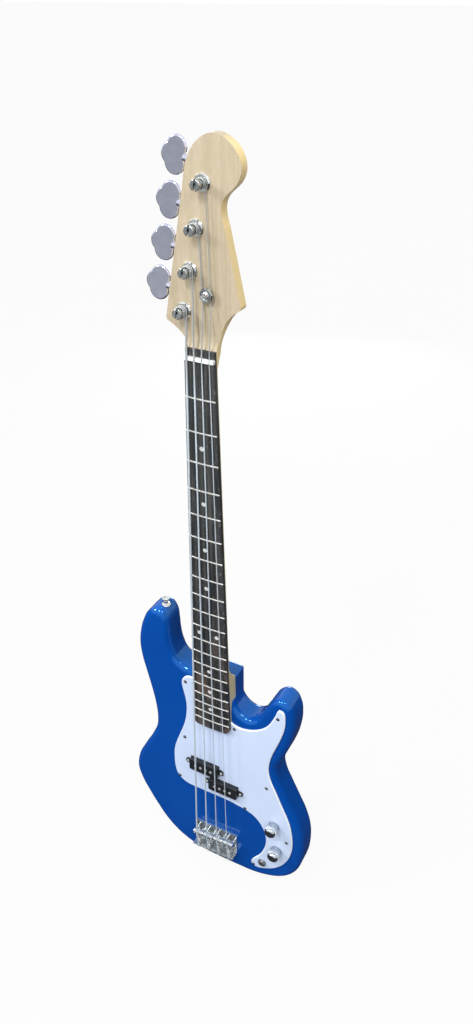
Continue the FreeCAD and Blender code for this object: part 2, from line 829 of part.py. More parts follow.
def make_fretboard():
    blank = neck_plan("board_blank", 0, size.board_thickness, size.board_tail, 0)
    crowned = doc.addObject("Part::Common", "board_crowned")
    crowned.Base = blank
    crowned.Tool = crown_bar("board_crown")
    half_slot = size.fret_tang_width / 2 + size.fit
    slot = box("board_slot", (-size.board_end_width, size.board_end_width),
               (-1, size.fret_tang_depth + 2), (-half_slot, half_slot))
    slot_spots = [spot(0, 0, -float(fret_place(n))) for n in range(1, int(float(size.fret_count)) + 1)]
    recess = rod("board_dot_recess", size.dot_radius + size.fit, size.dot_depth * 2)
    wide = (-size.board_end_width, size.board_end_width)
    nut_bed = box("board_nut_bed", wide, (-1, size.nut_slot_floor), (0, size.nut_thickness))
    tail_step = box("board_tail_step", wide, (-1, size.board_tail_drop),
                    (size.nut_thickness / 2, size.board_tail + 1))
    keep("fretboard", cut("board_cut", crowned, nut_bed, tail_step, copies("board_slots", slot, slot_spots),
                          copies("board_recesses", recess, dot_spots(-size.dot_depth))))
    disc = rod("dot_disc", size.dot_radius, size.dot_depth * 2)
    flush = doc.addObject("Part::Common", "dots_flush")
    flush.Base = copies("dot_discs", disc, dot_spots(-size.dot_depth))
    flush.Tool = crown_bar("dot_crown", 0)
    keep("position_dots", flush)


def make_frets():
    """Each fret is its section swung about the axis of the fretboard's crown."""
    axis = Vector(0, float(size.board_crown_radius), 0)
    frets = []
    for number in range(1, int(float(size.fret_count)) + 1):
        place_z = float(fret_place(number))
        swing = math.degrees(math.asin(float(board_half(place_z)) / float(size.board_crown_radius)))
        half_bead = float(size.fret_width) / 2
        half_tang = float(size.fret_tang_width) / 2
        seat = -float(size.fit)
        foot = float(size.fret_tang_depth)
        corners = [Vector(0, seat, half_bead), Vector(0, seat, half_tang), Vector(0, foot, half_tang),
                   Vector(0, foot, -half_tang), Vector(0, seat, -half_tang), Vector(0, seat, -half_bead)]
        edges = [line(a, b) for a, b in zip(corners, corners[1:])]
        edges.append(Part.Arc(corners[-1], Vector(0, -float(size.fret_height), 0), corners[0]).toShape())
        section = Part.Face(Part.Wire(edges))
        section.rotate(axis, Vector(0, 0, 1), -swing)
        fret = section.revolve(axis, Vector(0, 0, 1), 2 * swing)
        fret.translate(Vector(0, 0, -place_z))
        frets.append(fret)
    keep("frets", shaped("fret_set", Part.makeCompound(frets)))


def string_height(name, spread_rise):
    """Depth of a string's middle when its underside clears the fretboard plane by a rise."""
    return -(spread_rise + string_radius(name))


def make_nut():
    half = board_half(0)
    corners = [(-half, 0), (half, 0), (half, size.nut_thickness), (-half, size.nut_thickness)]
    blank = flat_piece("nut_blank", lambda sketch: polygon(sketch, corners), -size.nut_rise,
                       size.nut_rise + size.nut_slot_floor)
    round_off(blank, size.nut_thickness / 4, at_depth(0))
    grooves = []
    for index, name in enumerate(STRINGS):
        radius = string_radius(name) + size.string_fit / 2
        x = string_x(index, size.nut_spread)
        depth = string_height(name, size.nut_action)
        grooves.append(rod(f"nut_groove_{name}", radius, size.nut_thickness * 3,
                           (x, depth, -size.nut_thickness), Rotation()))
        grooves.append(box(f"nut_mouth_{name}", (x - radius, x + radius), (depth - size.nut_rise * 2, depth),
                           (-size.nut_thickness, size.nut_thickness * 2)))
    keep("nut", cut("nut_cut", blank, *grooves))


def make_truss_rod():
    depth = size.board_thickness + size.truss_channel_depth - size.truss_nut_radius - size.fit
    bar = rod("truss_bar", size.truss_rod_radius, neck_end - size.nut_thickness * 4, (0, depth, -neck_end + 2),
              Rotation())
    nut = rod("truss_end", size.truss_nut_radius, size.truss_nut_length, (0, depth, -neck_end + 1), Rotation())
    slot_half = size.truss_rod_radius / 5
    slot = box("truss_slot", (-size.truss_nut_radius, size.truss_nut_radius),
               (depth - slot_half, depth + slot_half),
               (-neck_end, -neck_end + size.truss_nut_length / 4))
    keep("truss_rod", cut("truss_cut", fuse("truss_whole", bar, nut), slot))


# Tuners: every piece is made once in the tuner's own frame and set at the four posts

def make_ferrules():
    bore = size.post_radius + size.running_fit
    rim = size.ferrule_radius - size.ferrule_rise / 2
    ring = turned("ferrule_pattern", [
        (bore, -size.ferrule_rise), (rim, -size.ferrule_rise), (size.ferrule_radius, -size.ferrule_rise / 3),
        (size.ferrule_radius, 0), (size.ferrule_sleeve_radius, 0),
        (size.ferrule_sleeve_radius, size.ferrule_sleeve_length), (bore, size.ferrule_sleeve_length),
    ])
    spots = [tuner.multiply(spot(0, size.head_drop, 0)) for tuner in TUNERS]
    keep("tuner_ferrules", copies("ferrule_set", ring, spots))


def make_posts():
    blank = turned("post_blank", [
        (0, post_top), (size.post_cap_radius, post_top),
        (size.post_cap_radius, post_top + size.post_cap_height * 0.8),
        (size.post_radius, post_top + size.post_cap_height), (size.post_radius, tuner_plate_back + size.fit),
        (size.gear_hub_radius, tuner_plate_back + size.fit), (size.gear_hub_radius, gear_front),
        (size.post_radius * 0.7, gear_front), (size.post_radius * 0.7, gear_front + size.gear_thickness),
        (0, gear_front + size.gear_thickness),
    ])
    cap_edge = float(size.post_cap_radius)
    round_off(blank, size.post_cap_height * 0.4, lambda edge: at_depth(float(post_top))(edge)
              and abs(edge.BoundBox.XMax - cap_edge) < 0.01)
    half_slot = size.post_slot_width / 2
    slot = box("post_slot", (-half_slot, half_slot), (post_top - 1, post_top + size.post_slot_depth),
               (-size.post_cap_radius * 2, size.post_cap_radius * 2))
    well = rod("post_well", half_slot * 1.3, size.post_slot_depth * 3, (0, post_top, 0))
    thread = rod("post_thread", size.small_screw_radius + size.fit, size.gear_thickness * 2,
                 (0, gear_front - size.gear_thickness, 0))
    pattern = cut("post_pattern", blank, slot, well, thread)
    for name, tuner in zip(STRINGS, TUNERS):
        keep("tuner_post_" + name, copies("post_of_" + name, pattern, [tuner]))


def gear_wheel():
    """Spur wheel with one tooth pointing at the worm."""
    pitch_radius = float(size.gear_pitch_radius)
    half_height = float(size.gear_tooth_height) / 2
    width = float(size.gear_tooth_width)
    teeth = int(float(size.gear_teeth))
    corners = []
    for tooth in range(teeth):
        for radius, half in ((pitch_radius - half_height, -0.65), (pitch_radius + half_height, -0.35),
                             (pitch_radius + half_height, 0.35), (pitch_radius - half_height, 0.65)):
            angle = 2 * math.pi * tooth / teeth + half * width / radius
            corners.append(Vector(radius * math.sin(angle), float(gear_front), radius * math.cos(angle)))
    rim = Part.Wire([line(a, b) for a, b in zip(corners, corners[1:] + corners[:1])])
    return Part.Face(rim).extrude(Vector(0, float(size.gear_thickness), 0))


def make_gears():
    wheel = shaped("gear_wheel", gear_wheel())
    bore = rod("gear_bore", size.post_radius * 0.7 + size.fit, size.gear_thickness * 3,
               (0, gear_front - size.gear_thickness, 0))
    ring = cut("gear_ring", wheel, bore)
    holder = screw("gear_holder", size.post_radius, size.gear_thickness / 3, size.small_screw_radius,
                   size.gear_thickness * 1.4)
    doc.recompute()
    back = spot(0, gear_front + size.gear_thickness, 0, TO_FRONT)
    for name, tuner in zip(STRINGS, TUNERS):
        pair = Part.makeCompound([moved(ring.Shape, tuner), moved(holder.Shape, tuner.multiply(back))])
        keep("tuner_gear_" + name, shaped("gear_of_" + name, pair))


def make_tuner_plates():
    half = size.tuner_plate_width / 2
    low = size.gear_centre / 2 - size.tuner_plate_length / 2
    high = size.gear_centre / 2 + size.tuner_plate_length / 2
    sheet_metal = box("tuner_sheet", (-half, half), (head_back, tuner_plate_back), (low, high))
    ears = []
    ear_top = worm_depth + size.ear_width / 2
    for side in (-1, 1):
        inner = half - size.ear_thickness
        span = (inner, half) if side > 0 else (-half, -inner)
        ears.append(box(f"tuner_ear_{'right' if side > 0 else 'left'}", span, (head_back, ear_top),
                        (size.gear_centre - size.ear_width / 2, size.gear_centre + size.ear_width / 2)))
    shaft_hole = cross_bar("tuner_shaft_hole", size.key_shaft_radius + size.running_fit,
                           size.tuner_plate_width * 2,
                           (0, worm_depth, size.gear_centre))
    post_hole = rod("tuner_post_hole", size.post_radius + size.running_fit, size.head_thickness,
                    (0, head_back - 1, 0))
    pattern = cut("tuner_plate_pattern", fuse("tuner_bracket", sheet_metal, *ears), shaft_hole, post_hole)
    plates = copies("tuner_plate_set", pattern, TUNERS)
    pilot = rod("tuner_plate_pilot", size.small_screw_radius + size.fit, size.tuner_plate_thickness * 6)
    holes = copies("tuner_plate_pilots", pilot,
                   tuner_screw_spots(tuner_plate_back + size.tuner_plate_thickness * 2))
    keep("tuner_plates", cut("tuner_plates_cut", plates, holes))
    fastener = screw("head_screw_pattern", size.small_screw_head, size.small_screw_head / 2,
                     size.small_screw_radius, size.small_screw_length)
    plate_screws = copies("tuner_screw_set", fastener, tuner_screw_spots(tuner_plate_back))
    solids = plate_screws.Shape.Solids + tree_screw().Shape.Solids
    keep("head_screws", shaped("head_screw_set", Part.makeCompound(solids)))


def worm_thread():
    """One helical ridge that runs round the worm, clear of the wheel's tooth at rest."""
    pitch = 2 * math.pi * float(size.gear_pitch_radius) / float(size.gear_teeth)
    turns = float(size.worm_turns)
    pitch_radius = float(size.gear_centre - size.gear_pitch_radius)
    half_height = float(size.gear_tooth_height) / 2
    width = float(size.worm_thread_width)
    inner = float(size.worm_core_radius) - 0.15
    outer = pitch_radius + half_height - float(size.mesh_clearance)
    start = -pitch * turns / 2
    corners = [Vector(-inner, 0, start - 0.65 * width), Vector(-outer, 0, start - 0.35 * width),
               Vector(-outer, 0, start + 0.35 * width), Vector(-inner, 0, start + 0.65 * width)]
    section = Part.Wire([line(a, b) for a, b in zip(corners, corners[1:] + corners[:1])])
    path = Part.makeHelix(pitch, pitch * turns, pitch_radius)
    path.rotate(Vector(), Vector(0, 0, 1), 180)
    path.translate(Vector(0, 0, start))
    return Part.Wire(path.Edges).makePipeShell([section], True, True)


def key_lobe(label, along, across):
    """One round, soft-edged leaf of the key's button, flat in the plane of the head."""
    half = size.key_thickness / 2
    leaf = turned(label, [(0, -half), (size.key_lobe_radius, -half), (size.key_lobe_radius, half), (0, half)],
                  (-along, worm_depth, size.gear_centre + across))
    rim = float(size.key_lobe_radius)
    return round_off(leaf, size.key_edge_round, lambda edge: abs(edge.BoundBox.XMax - rim) < 0.01
                     and edge.BoundBox.YLength < 0.01)


def make_keys():
    half = size.tuner_plate_width / 2
    middle = size.key_reach + size.key_lobe_radius
    inner_end = half + 1.5
    shaft = cross_bar("key_shaft", size.key_shaft_radius, inner_end + middle,
                      ((inner_end - middle) / 2, worm_depth, size.gear_centre))
    core = cross_bar("key_worm_core", size.worm_core_radius,
                     size.tuner_plate_width - size.ear_thickness * 2 - 0.6,
                     (0, worm_depth, size.gear_centre))
    collar = cross_bar("key_collar", size.key_shaft_radius * 1.8, size.key_lobe_radius / 2,
                       (-size.key_reach, worm_depth, size.gear_centre))
    stop = cross_bar("key_stop", size.key_shaft_radius * 1.5, 1.2,
                     (inner_end - 0.5, worm_depth, size.gear_centre))
    ridge = shaped("key_worm_ridge", worm_thread())
    ridge.Placement = spot(0, worm_depth, size.gear_centre, Rotation(Vector(0, 1, 0), 90))
    leaves = [
        key_lobe("key_leaf_low", middle, -size.key_lobe_offset),
        key_lobe("key_leaf_high", middle, size.key_lobe_offset),
        key_lobe("key_leaf_end", middle + size.key_end_offset, 0),
        key_lobe("key_leaf_root", middle, 0),
    ]
    pattern = fuse("key_pattern", shaft, core, collar, stop, ridge, *leaves)
    for name, tuner in zip(STRINGS, TUNERS):
        keep("tuner_key_" + name, copies("key_of_" + name, pattern, [tuner]))


def tree_screw():
    """A broad cross-headed screw that sits in the dish of the string tree."""
    blank = screw("tree_screw_blank", size.tree_screw_head, size.tree_screw_rise,
                  size.small_screw_radius, size.small_screw_length)
    half_slot = size.tree_screw_head * 0.14
    second_slot = box("tree_screw_cross", (-half_slot, half_slot),
                      (-size.tree_screw_rise * 1.1, -size.tree_screw_rise / 2),
                      (-size.tree_screw_head, size.tree_screw_head))
    crossed = cut("tree_screw_crossed", blank, second_slot)
    floor = size.head_drop - size.tree_lift - size.tree_thickness + size.tree_dish
    return copies("tree_screw", crossed, [spot(size.tree_x, floor, size.tree_z)])


def make_string_tree():
    top = size.head_drop - size.tree_lift - size.tree_thickness
    bore = size.small_screw_radius + size.fit
    floor = top + size.tree_dish
    disc = turned("tree_disc", [
        (bore, floor), (size.tree_radius - size.tree_rim * 2, floor),
        (size.tree_radius - size.tree_rim * 1.3, top), (size.tree_radius - size.tree_rim * 0.5, top),
        (size.tree_radius, top + size.tree_thickness / 2),
        (size.tree_radius, top + size.tree_thickness), (size.tree_stem_radius, top + size.tree_thickness),
        (size.tree_stem_radius, size.head_drop), (bore, size.head_drop),
    ], (size.tree_x, 0, size.tree_z))
    keep("string_tree", disc)


# Strings

def winding_start(name):
    """Depth of the lowest wrap, just clear of the ferrule."""
    return float(size.head_drop - size.ferrule_rise - size.string_fit - string_radius(name))


def string_path(index, name):
    """Ball end, saddle, nut, the tree for the two thin strings, then round the post."""
    radius = float(string_radius(name))
    over = Vector(float(string_x(index, size.saddle_spread)),
                  float(string_height(name, size.saddle_crest)), float(saddle_height(name)))
    ball = Vector(over.x, float(flange_top + size.string_hole_below_top),
                  float(flange_front - size.bridge_plate_thickness - size.ball_radius))
    nut_x = float(string_x(index, size.nut_spread))
    at_nut = Vector(nut_x, float(string_height(name, size.nut_action)), 0)
    past_nut = at_nut + unit(at_nut - over) * float(size.nut_thickness * 1.4)
    points = [ball, over, past_nut]
    radii = [float(size.saddle_radius + size.string_fit) + radius, 12]
    if name in "dg":
        side = -1 if name == "d" else 1
        under = size.head_drop - size.tree_lift + size.string_fit + string_radius(name)
        points.append(Vector(float(size.tree_x) + side * float(size.tree_string_spread) / 2, float(under),
                             float(size.tree_z - size.tree_radius)))
        radii.append(25)
    centre = TUNERS[index].Base
    wrap = float(size.post_radius + size.string_fit) + radius
    away = points[-1] - centre
    flat = math.hypot(away.x, away.z)
    angle = math.atan2(away.z, away.x) + math.acos(wrap / flat)
    rise = -(2 * radius + float(size.winding_gap))
    dip = 0.7 * wrap * (winding_start(name) - points[-1].y) / flat
    stations = helix(centre, wrap, angle, float(size.winding_turns), winding_start(name) - max(dip, 0), rise)
    landing = stations[0][0]
    stations[0] = (landing, unit(landing - points[-1]))
    turns = coil_edges(stations)
    end, end_way = stations[-1]
    tip = line(end, end + end_way * 2 * radius)
    least_gap("string_" + name, turns, 2 * radius)
    return route(points + [landing], radii) + turns + [tip], ball


def make_strings():
    for index, name in enumerate(STRINGS):
        edges, ball = string_path(index, name)
        radius = float(string_radius(name))
        wire = tube(edges, radius)
        length = sum(edge.Length for edge in edges)
        share = wire.Volume / (math.pi * radius ** 2 * length)
        print(f"string_{name}: volume over section and length {share:.4f}")
        bead = Part.makeSphere(float(size.ball_radius), ball)
        keep("string_" + name, shaped("string_of_" + name, wire.fuse(bead)))


# Bridge

def saddle_spots():
    depth = size.saddle_radius + size.string_fit - size.saddle_crest
    return [spot(string_x(index, size.saddle_spread), depth, saddle_height(name))
            for index, name in enumerate(STRINGS)]


def intonation_depth():
    return size.saddle_radius + size.string_fit - size.saddle_crest + size.intonation_screw_back


def make_bridge_plate():
    front = saddle_line + size.bridge_front_up
    rear = front - size.bridge_length
    half = size.bridge_width / 2
    foot = box("bridge_foot", (-half, half), (plate_top, body_front), (rear, front))
    flange = box("bridge_flange", (-half, half), (flange_top, body_front), (rear, flange_front))
    blank = fuse("bridge_blank", foot, flange)
    string_hole = rod("bridge_string_hole", size.string_hole_radius, size.bridge_plate_thickness * 3,
                      (0, 0, 0), Rotation())
    screw_hole = rod("bridge_screw_hole", size.intonation_screw_radius + size.running_fit,
                     size.bridge_plate_thickness * 3, (0, 0, 0), Rotation())
    start = rear - size.bridge_plate_thickness
    xs = [string_x(index, size.saddle_spread) for index in range(len(STRINGS))]
    string_spots = [spot(x, flange_top + size.string_hole_below_top, start) for x in xs]
    screw_spots = [spot(x, intonation_depth(), start) for x in xs]
    mount_hole = rod("bridge_mount_hole", size.bridge_screw_radius + size.fit, size.bridge_plate_thickness * 3)
    keep("bridge_plate", cut(
        "bridge_cut", blank, copies("bridge_string_holes", string_hole, string_spots),
        copies("bridge_screw_holes", screw_hole, screw_spots),
        copies("bridge_mount_holes", mount_hole, bridge_screw_spots(plate_top - 1))))
    fastener = screw("bridge_screw_pattern", size.bridge_screw_head, size.bridge_screw_head / 2,
                     size.bridge_screw_radius, size.bridge_screw_length)
    keep("bridge_screws", copies("bridge_screw_set", fastener, bridge_screw_spots(plate_top)))


def make_saddles():
    barrel = cross_bar("saddle_barrel", size.saddle_radius, size.saddle_length, (0, 0, 0))
    soft = doc.addObject("Part::Fillet", "saddle_soft")
    soft.Base = barrel
    doc.recompute()
    rims = [i for i, edge in enumerate(barrel.Shape.Edges, start=1) if edge.BoundBox.XLength < 0.01]
    edge_round = float(size.saddle_radius) / 8
    soft.Edges = [(rim, edge_round, edge_round) for rim in rims]
    side = size.saddle_screw_spread / 2
    depth = size.saddle_radius + size.string_fit - size.saddle_crest
    top = size.saddle_screw_drop - size.saddle_radius
    bores = []
    studs = []
    for label, x in (("left", -side), ("right", side)):
        bores.append(rod(f"saddle_bore_{label}", size.saddle_screw_radius + size.fit, size.saddle_radius * 4,
                         (x, -size.saddle_radius * 2, 0)))
        stud = rod(f"saddle_stud_{label}", size.saddle_screw_radius, plate_top - depth - top, (x, top, 0))
        socket = rod(f"saddle_socket_{label}", size.saddle_screw_radius / 2, size.saddle_screw_radius,
                     (x, top, 0))
        studs.append(cut(f"saddle_screw_{label}", stud, socket))
    thread = rod("saddle_thread", size.intonation_screw_radius + size.running_fit, size.saddle_radius * 4,
                 (0, size.intonation_screw_back, -size.saddle_radius * 2), Rotation())
    drilled = cut("saddle_drilled", soft, thread, *bores)
    doc.recompute()
    for name, place_of in zip(STRINGS, saddle_spots()):
        solids = [moved(item.Shape, place_of) for item in [drilled] + studs]
        keep("saddle_" + name, shaped("saddle_of_" + name, Part.makeCompound(solids)))


def make_intonation():
    """Long screws through the flange, each with a spring between flange and saddle."""
    rear = flange_front - size.bridge_plate_thickness
    length = saddle_line + size.intonation_screw_past - rear
    fastener = screw("intonation_pattern", size.intonation_screw_radius * 1.4, size.intonation_screw_radius,
                     size.intonation_screw_radius, length)
    xs = [float(string_x(index, size.saddle_spread)) for index in range(len(STRINGS))]
    spots = [spot(x, intonation_depth(), rear, TO_HEAD) for x in xs]
    keep("intonation_screws", copies("intonation_set", fastener, spots))
    for name, x in zip(STRINGS, xs):
        make_spring(name, x)


def make_spring(name, x):
    """A coil that fills the room between the flange and its saddle."""
    radius = float(size.spring_coil_radius)
    wire = float(size.spring_wire_radius)
    low = float(flange_front) + wire * 1.6
    high = float(saddle_height(name) - size.saddle_radius) - wire * 1.6
    turns = float(size.spring_turns)
    stations = helix(Vector(), radius, 0, turns, 0, (high - low) / turns)
    edges = coil_edges(stations)
    least_gap("intonation_spring_" + name, edges, 2 * wire)
    (start, start_way), (end, end_way) = stations[0], stations[-1]
    edges = [line(start - start_way * wire * 2, start)] + edges + [line(end, end + end_way * wire * 2)]
    coil = shaped("spring_coil_" + name, tube(edges, wire))
    where = spot(x, intonation_depth(), low, TO_HEAD)
    keep("intonation_spring_" + name, copies("spring_of_" + name, coil, [where]))


# Pickup halves

def make_pickups():
    half_length = size.pickup_length / 2
    half_width = size.pickup_width / 2
    lug = size.pickup_lug_reach / 2
    corners = [(-half_length, -half_width), (half_length, -half_width), (half_length, half_width),
               (-half_length, half_width)]
    shell = flat_piece("pickup_shell", lambda sketch: polygon(sketch, corners), pickup_top, size.pickup_height)
    round_off(shell, size.pickup_corner, runs_deep)
    round_off(shell, size.pickup_corner / 3, at_depth(0))
    lug_front = guard_front - size.pickup_lug_thickness
    bar = box("pickup_bar", (-lug, lug), (lug_front, guard_front),
              (-size.pickup_lug_width / 2, size.pickup_lug_width / 2))
    ends = [rod(f"pickup_lug_{label}", size.pickup_lug_width / 2, size.pickup_lug_thickness, (x, lug_front, 0))
            for label, x in (("left", -lug), ("right", lug))]
    inner_length = half_length - size.pickup_wall
    inner_width = half_width - size.pickup_wall
    inside = box("pickup_inside", (-inner_length, inner_length),
                 (pickup_top + size.pickup_wall, pickup_top + size.pickup_height + 1),
                 (-inner_width, inner_width))
    pole_xs = [size.pole_pitch * step for step in (-1.5, -0.5, 0.5, 1.5)]
    pole_holes = [rod(f"pickup_pole_hole_{i}", size.pole_radius + size.fit, size.pickup_wall * 3,
                      (x, pickup_top - size.pickup_wall, 0)) for i, x in enumerate(pole_xs)]
    lug_holes = [rod(f"pickup_lug_hole_{label}", size.small_screw_radius + size.fit,
                     size.pickup_lug_thickness * 3,
                     (x, lug_front - 1, 0)) for label, x in (("left", -lug), ("right", lug))]
    cover = cut("pickup_cover_pattern", fuse("pickup_solid", shell, bar, *ends),
                inside, *pole_holes, *lug_holes)
    spots = [spot(x, 0, z) for x, z in pickup_spots]
    keep("pickup_covers", copies("pickup_cover_set", cover, spots))
    pole_front = pickup_top - size.pole_rise
    pole_back = pickup_top + size.pickup_height
    pole = rod("pole_pattern", size.pole_radius, pole_back - pole_front, (0, pole_front, 0))
    pole_spots = [spot(float(x) + float(dx), 0, z) for x, z in pickup_spots for dx in pole_xs]
    keep("pickup_poles", copies("pole_set", pole, pole_spots))
    half_bobbin = size.bobbin_length / 2
    half_board = size.bobbin_width / 2
    half_core = size.coil_core / 2
    core_length = half_bobbin - half_board + half_core
    board_front = pickup_top + size.pickup_wall
    upper = box("bobbin_upper", (-half_bobbin, half_bobbin),
                (board_front, board_front + size.flatwork_thickness),
                (-half_board, half_board))
    lower = box("bobbin_lower", (-half_bobbin, half_bobbin), (pole_back - size.flatwork_thickness, pole_back),
                (-half_board, half_board))
    core = box("bobbin_core", (-core_length, core_length), (board_front, pole_back), (-half_core, half_core))
    pole_bores = [rod(f"bobbin_bore_{i}", size.pole_radius + size.fit, size.pickup_height * 2,
                      (x, pole_front - 1, 0)) for i, x in enumerate(pole_xs)]
    bobbin = cut("bobbin_pattern", fuse("bobbin_solid", upper, lower, core), *pole_bores)
    keep("pickup_bobbins", copies("bobbin_set", bobbin, spots))
    coil_front = board_front + size.flatwork_thickness
    coil_back = pole_back - size.flatwork_thickness
    bundle = box("coil_bundle", (-half_bobbin + 1, half_bobbin - 1), (coil_front, coil_back),
                 (-half_board + 1, half_board - 1))
    coil = cut("coil_pattern", bundle, box("coil_space", (-core_length, core_length),
                                           (coil_front - 1, coil_back + 1),
                                           (-half_core, half_core)))
    keep("pickup_coils", copies("coil_set", coil, spots))
    pad = box("foam_pattern", (-half_bobbin + 2, half_bobbin - 2),
              (pole_back, body_front + size.pickup_cavity_depth), (-half_board + 2, half_board - 2))
    keep("pickup_foam", copies("foam_set", pad, spots))


# Controls, jack and wiring

def make_controls():
    knob_bottom = size.knob_gap
    bore = size.pot_shaft_radius + size.fit
    bore_end = size.pot_shaft_rise + size.fit
    top = knob_bottom + size.knob_height
    recess = knob_bottom + size.knob_recess_depth
    for name, (x, z) in (("volume", volume_spot), ("tone", tone_spot)):
        knob = turned(f"knob_of_{name}", [
            (size.knob_recess_radius, knob_bottom), (size.knob_radius, knob_bottom), (size.knob_radius, top),
            (0, top), (0, bore_end), (bore, bore_end), (bore, recess), (size.knob_recess_radius, recess),
        ], (x, guard_front, z), TO_FRONT)
        rim = float(size.knob_radius)
        round_off(knob, size.knob_dome, lambda edge: at_depth(float(top))(edge)
                  and abs(edge.BoundBox.XMax - rim) < 0.01)
        keep(f"knob_{name}", knob)
        shaft_length = size.pot_shaft_rise + size.guard_thickness + size.pot_can_depth / 2
        keep(f"pot_shaft_{name}", rod(f"shaft_of_{name}", size.pot_shaft_radius, shaft_length,
                                      (x, guard_front - size.pot_shaft_rise, z)))
    shaft_bore = size.pot_shaft_radius + size.running_fit
    bushing_front = guard_front - size.bushing_rise
    bore_floor = body_front + size.pot_can_depth / 2 + size.fit
    can_back = body_front + size.pot_can_depth
    can = turned("pot_can_pattern", [
        (shaft_bore, bushing_front), (size.bushing_radius, bushing_front), (size.bushing_radius, body_front),
        (size.pot_can_radius, body_front), (size.pot_can_radius, can_back), (0, can_back), (0, bore_floor),
        (shaft_bore, bore_floor),
    ])
    keep("pot_cans", copies("pot_can_set", can, [spot(x, 0, z) for x, z in (volume_spot, tone_spot)]))
    hexagon = doc.addObject("Part::Prism", "panel_hexagon")
    hexagon.Polygon = 6
    bind(hexagon, "Circumradius", size.panel_nut_radius)
    bind(hexagon, "Height", size.panel_nut_height)
    nut_front = guard_front - size.washer_thickness - size.panel_nut_height
    place(hexagon, (0, nut_front, 0), Rotation(Vector(1, 0, 0), -90))
    thread = size.bushing_radius + size.fit
    nut = cut("panel_nut_pattern", hexagon, rod("panel_nut_thread", thread, size.panel_nut_height * 3,
                                                (0, nut_front - 1, 0)))
    washer_front = guard_front - size.washer_thickness
    washer = turned("washer_pattern", [(thread, washer_front), (size.washer_radius, washer_front),
                                       (size.washer_radius, guard_front), (thread, guard_front)])
    doc.recompute()
    spots = [spot(x, 0, z) for x, z in (volume_spot, tone_spot, jack_spot)]
    solids = [moved(item.Shape, where) for where in spots for item in (nut, washer)]
    keep("panel_nuts", shaped("panel_nut_set", Part.makeCompound(solids)))


def make_jack():
    x, z = jack_spot
    bore = size.jack_bore_radius
    mouth = guard_front - size.bushing_rise
    flange_back = body_front + size.jack_flange_thickness
    end = flange_back + size.jack_tube_length
    keep("output_jack", turned("jack_of_panel", [
        (bore, mouth), (size.bushing_radius, mouth), (size.bushing_radius, body_front),
        (size.jack_flange_radius, body_front), (size.jack_flange_radius, flange_back),
        (size.jack_tube_radius, flange_back), (size.jack_tube_radius, end), (bore, end),
    ], (x, 0, z)))
    near = x + size.jack_tube_radius + size.fit
    half = size.contact_width / 2
    leaf = box("contact_leaf", (near, near + size.contact_thickness),
               (flange_back, end + 2), (z - half, z + half))
    tip = box("contact_tip", (x - 1, near + size.contact_thickness),
              (end + 1, end + 1 + size.contact_thickness),
              (z - half, z + half))
    keep("jack_contact", fuse("contact_whole", leaf, tip))


def wire_routes():
    """Lead routes in the hollows: pickups to volume, volume to tone, tone to jack, bridge to tone."""
    vx, vz = (float(value) for value in volume_spot)
    tx, tz = (float(value) for value in tone_spot)
    jx, jz = (float(value) for value in jack_spot)
    px, pz = (float(value) for value in pickup_spots[1])
    clear = float(size.wire_radius) + 0.2
    deep = float(body_front + size.pot_can_depth) + clear
    under = float(pickup_top + size.pickup_height) + clear
    beside = float(size.bobbin_width) / 2 - 0.6
    reach = float(size.pickup_length) / 2
    tube_side = jx + float(size.jack_flange_radius)
    return [
        [Vector(px + reach * 0.46, under, pz - beside), Vector(px + reach, under + 2, pz - beside - 4),
         Vector((px + vx) / 2, deep + 2, (pz + vz) / 2), Vector(vx - 18, deep + 2, vz + 10),
         Vector(vx - 5, deep, vz + 3)],
        [Vector(vx, deep, vz - 2), Vector(vx + 3, deep + 4, (vz + tz) / 2), Vector(tx, deep, tz + 2)],
        [Vector(tx - 3, deep, tz - 3), Vector(tx - 9, deep + 4, (tz + jz) / 2),
         Vector(tube_side, deep, jz + 3)],
    ]


def ground_line():
    """Straight run of the earth lead from under the bridge to the tone pot's hollow."""
    tx, tz = (float(value) for value in tone_spot)
    start = Vector(float(size.bridge_width) / 2 - 8, float(body_front + size.wire_radius * 1.3),
                   float(saddle_line) - 6)
    end = Vector(tx - float(size.pot_cavity_radius) + 3, float(body_front + size.pot_can_depth) + 6, tz)
    return start, end


def make_wiring():
    radius = float(size.wire_radius)
    leads = [tube(soft_route(points), radius) for points in wire_routes()]
    start, end = ground_line()
    leads.append(tube([line(start, end)], radius))
    keep("wiring", shaped("wire_set", Part.makeCompound(leads)))
    tx, tz = tone_spot
    depth = body_front + size.pot_can_depth + size.capacitor_radius
    place_of_roll = (tx + size.capacitor_radius * 1.4, depth, tz - size.capacitor_length / 2)
    keep("tone_capacitor", rod("capacitor_roll", size.capacitor_radius, size.capacitor_length,
                               place_of_roll, Rotation()))


# Body, pickguard and the plates on it

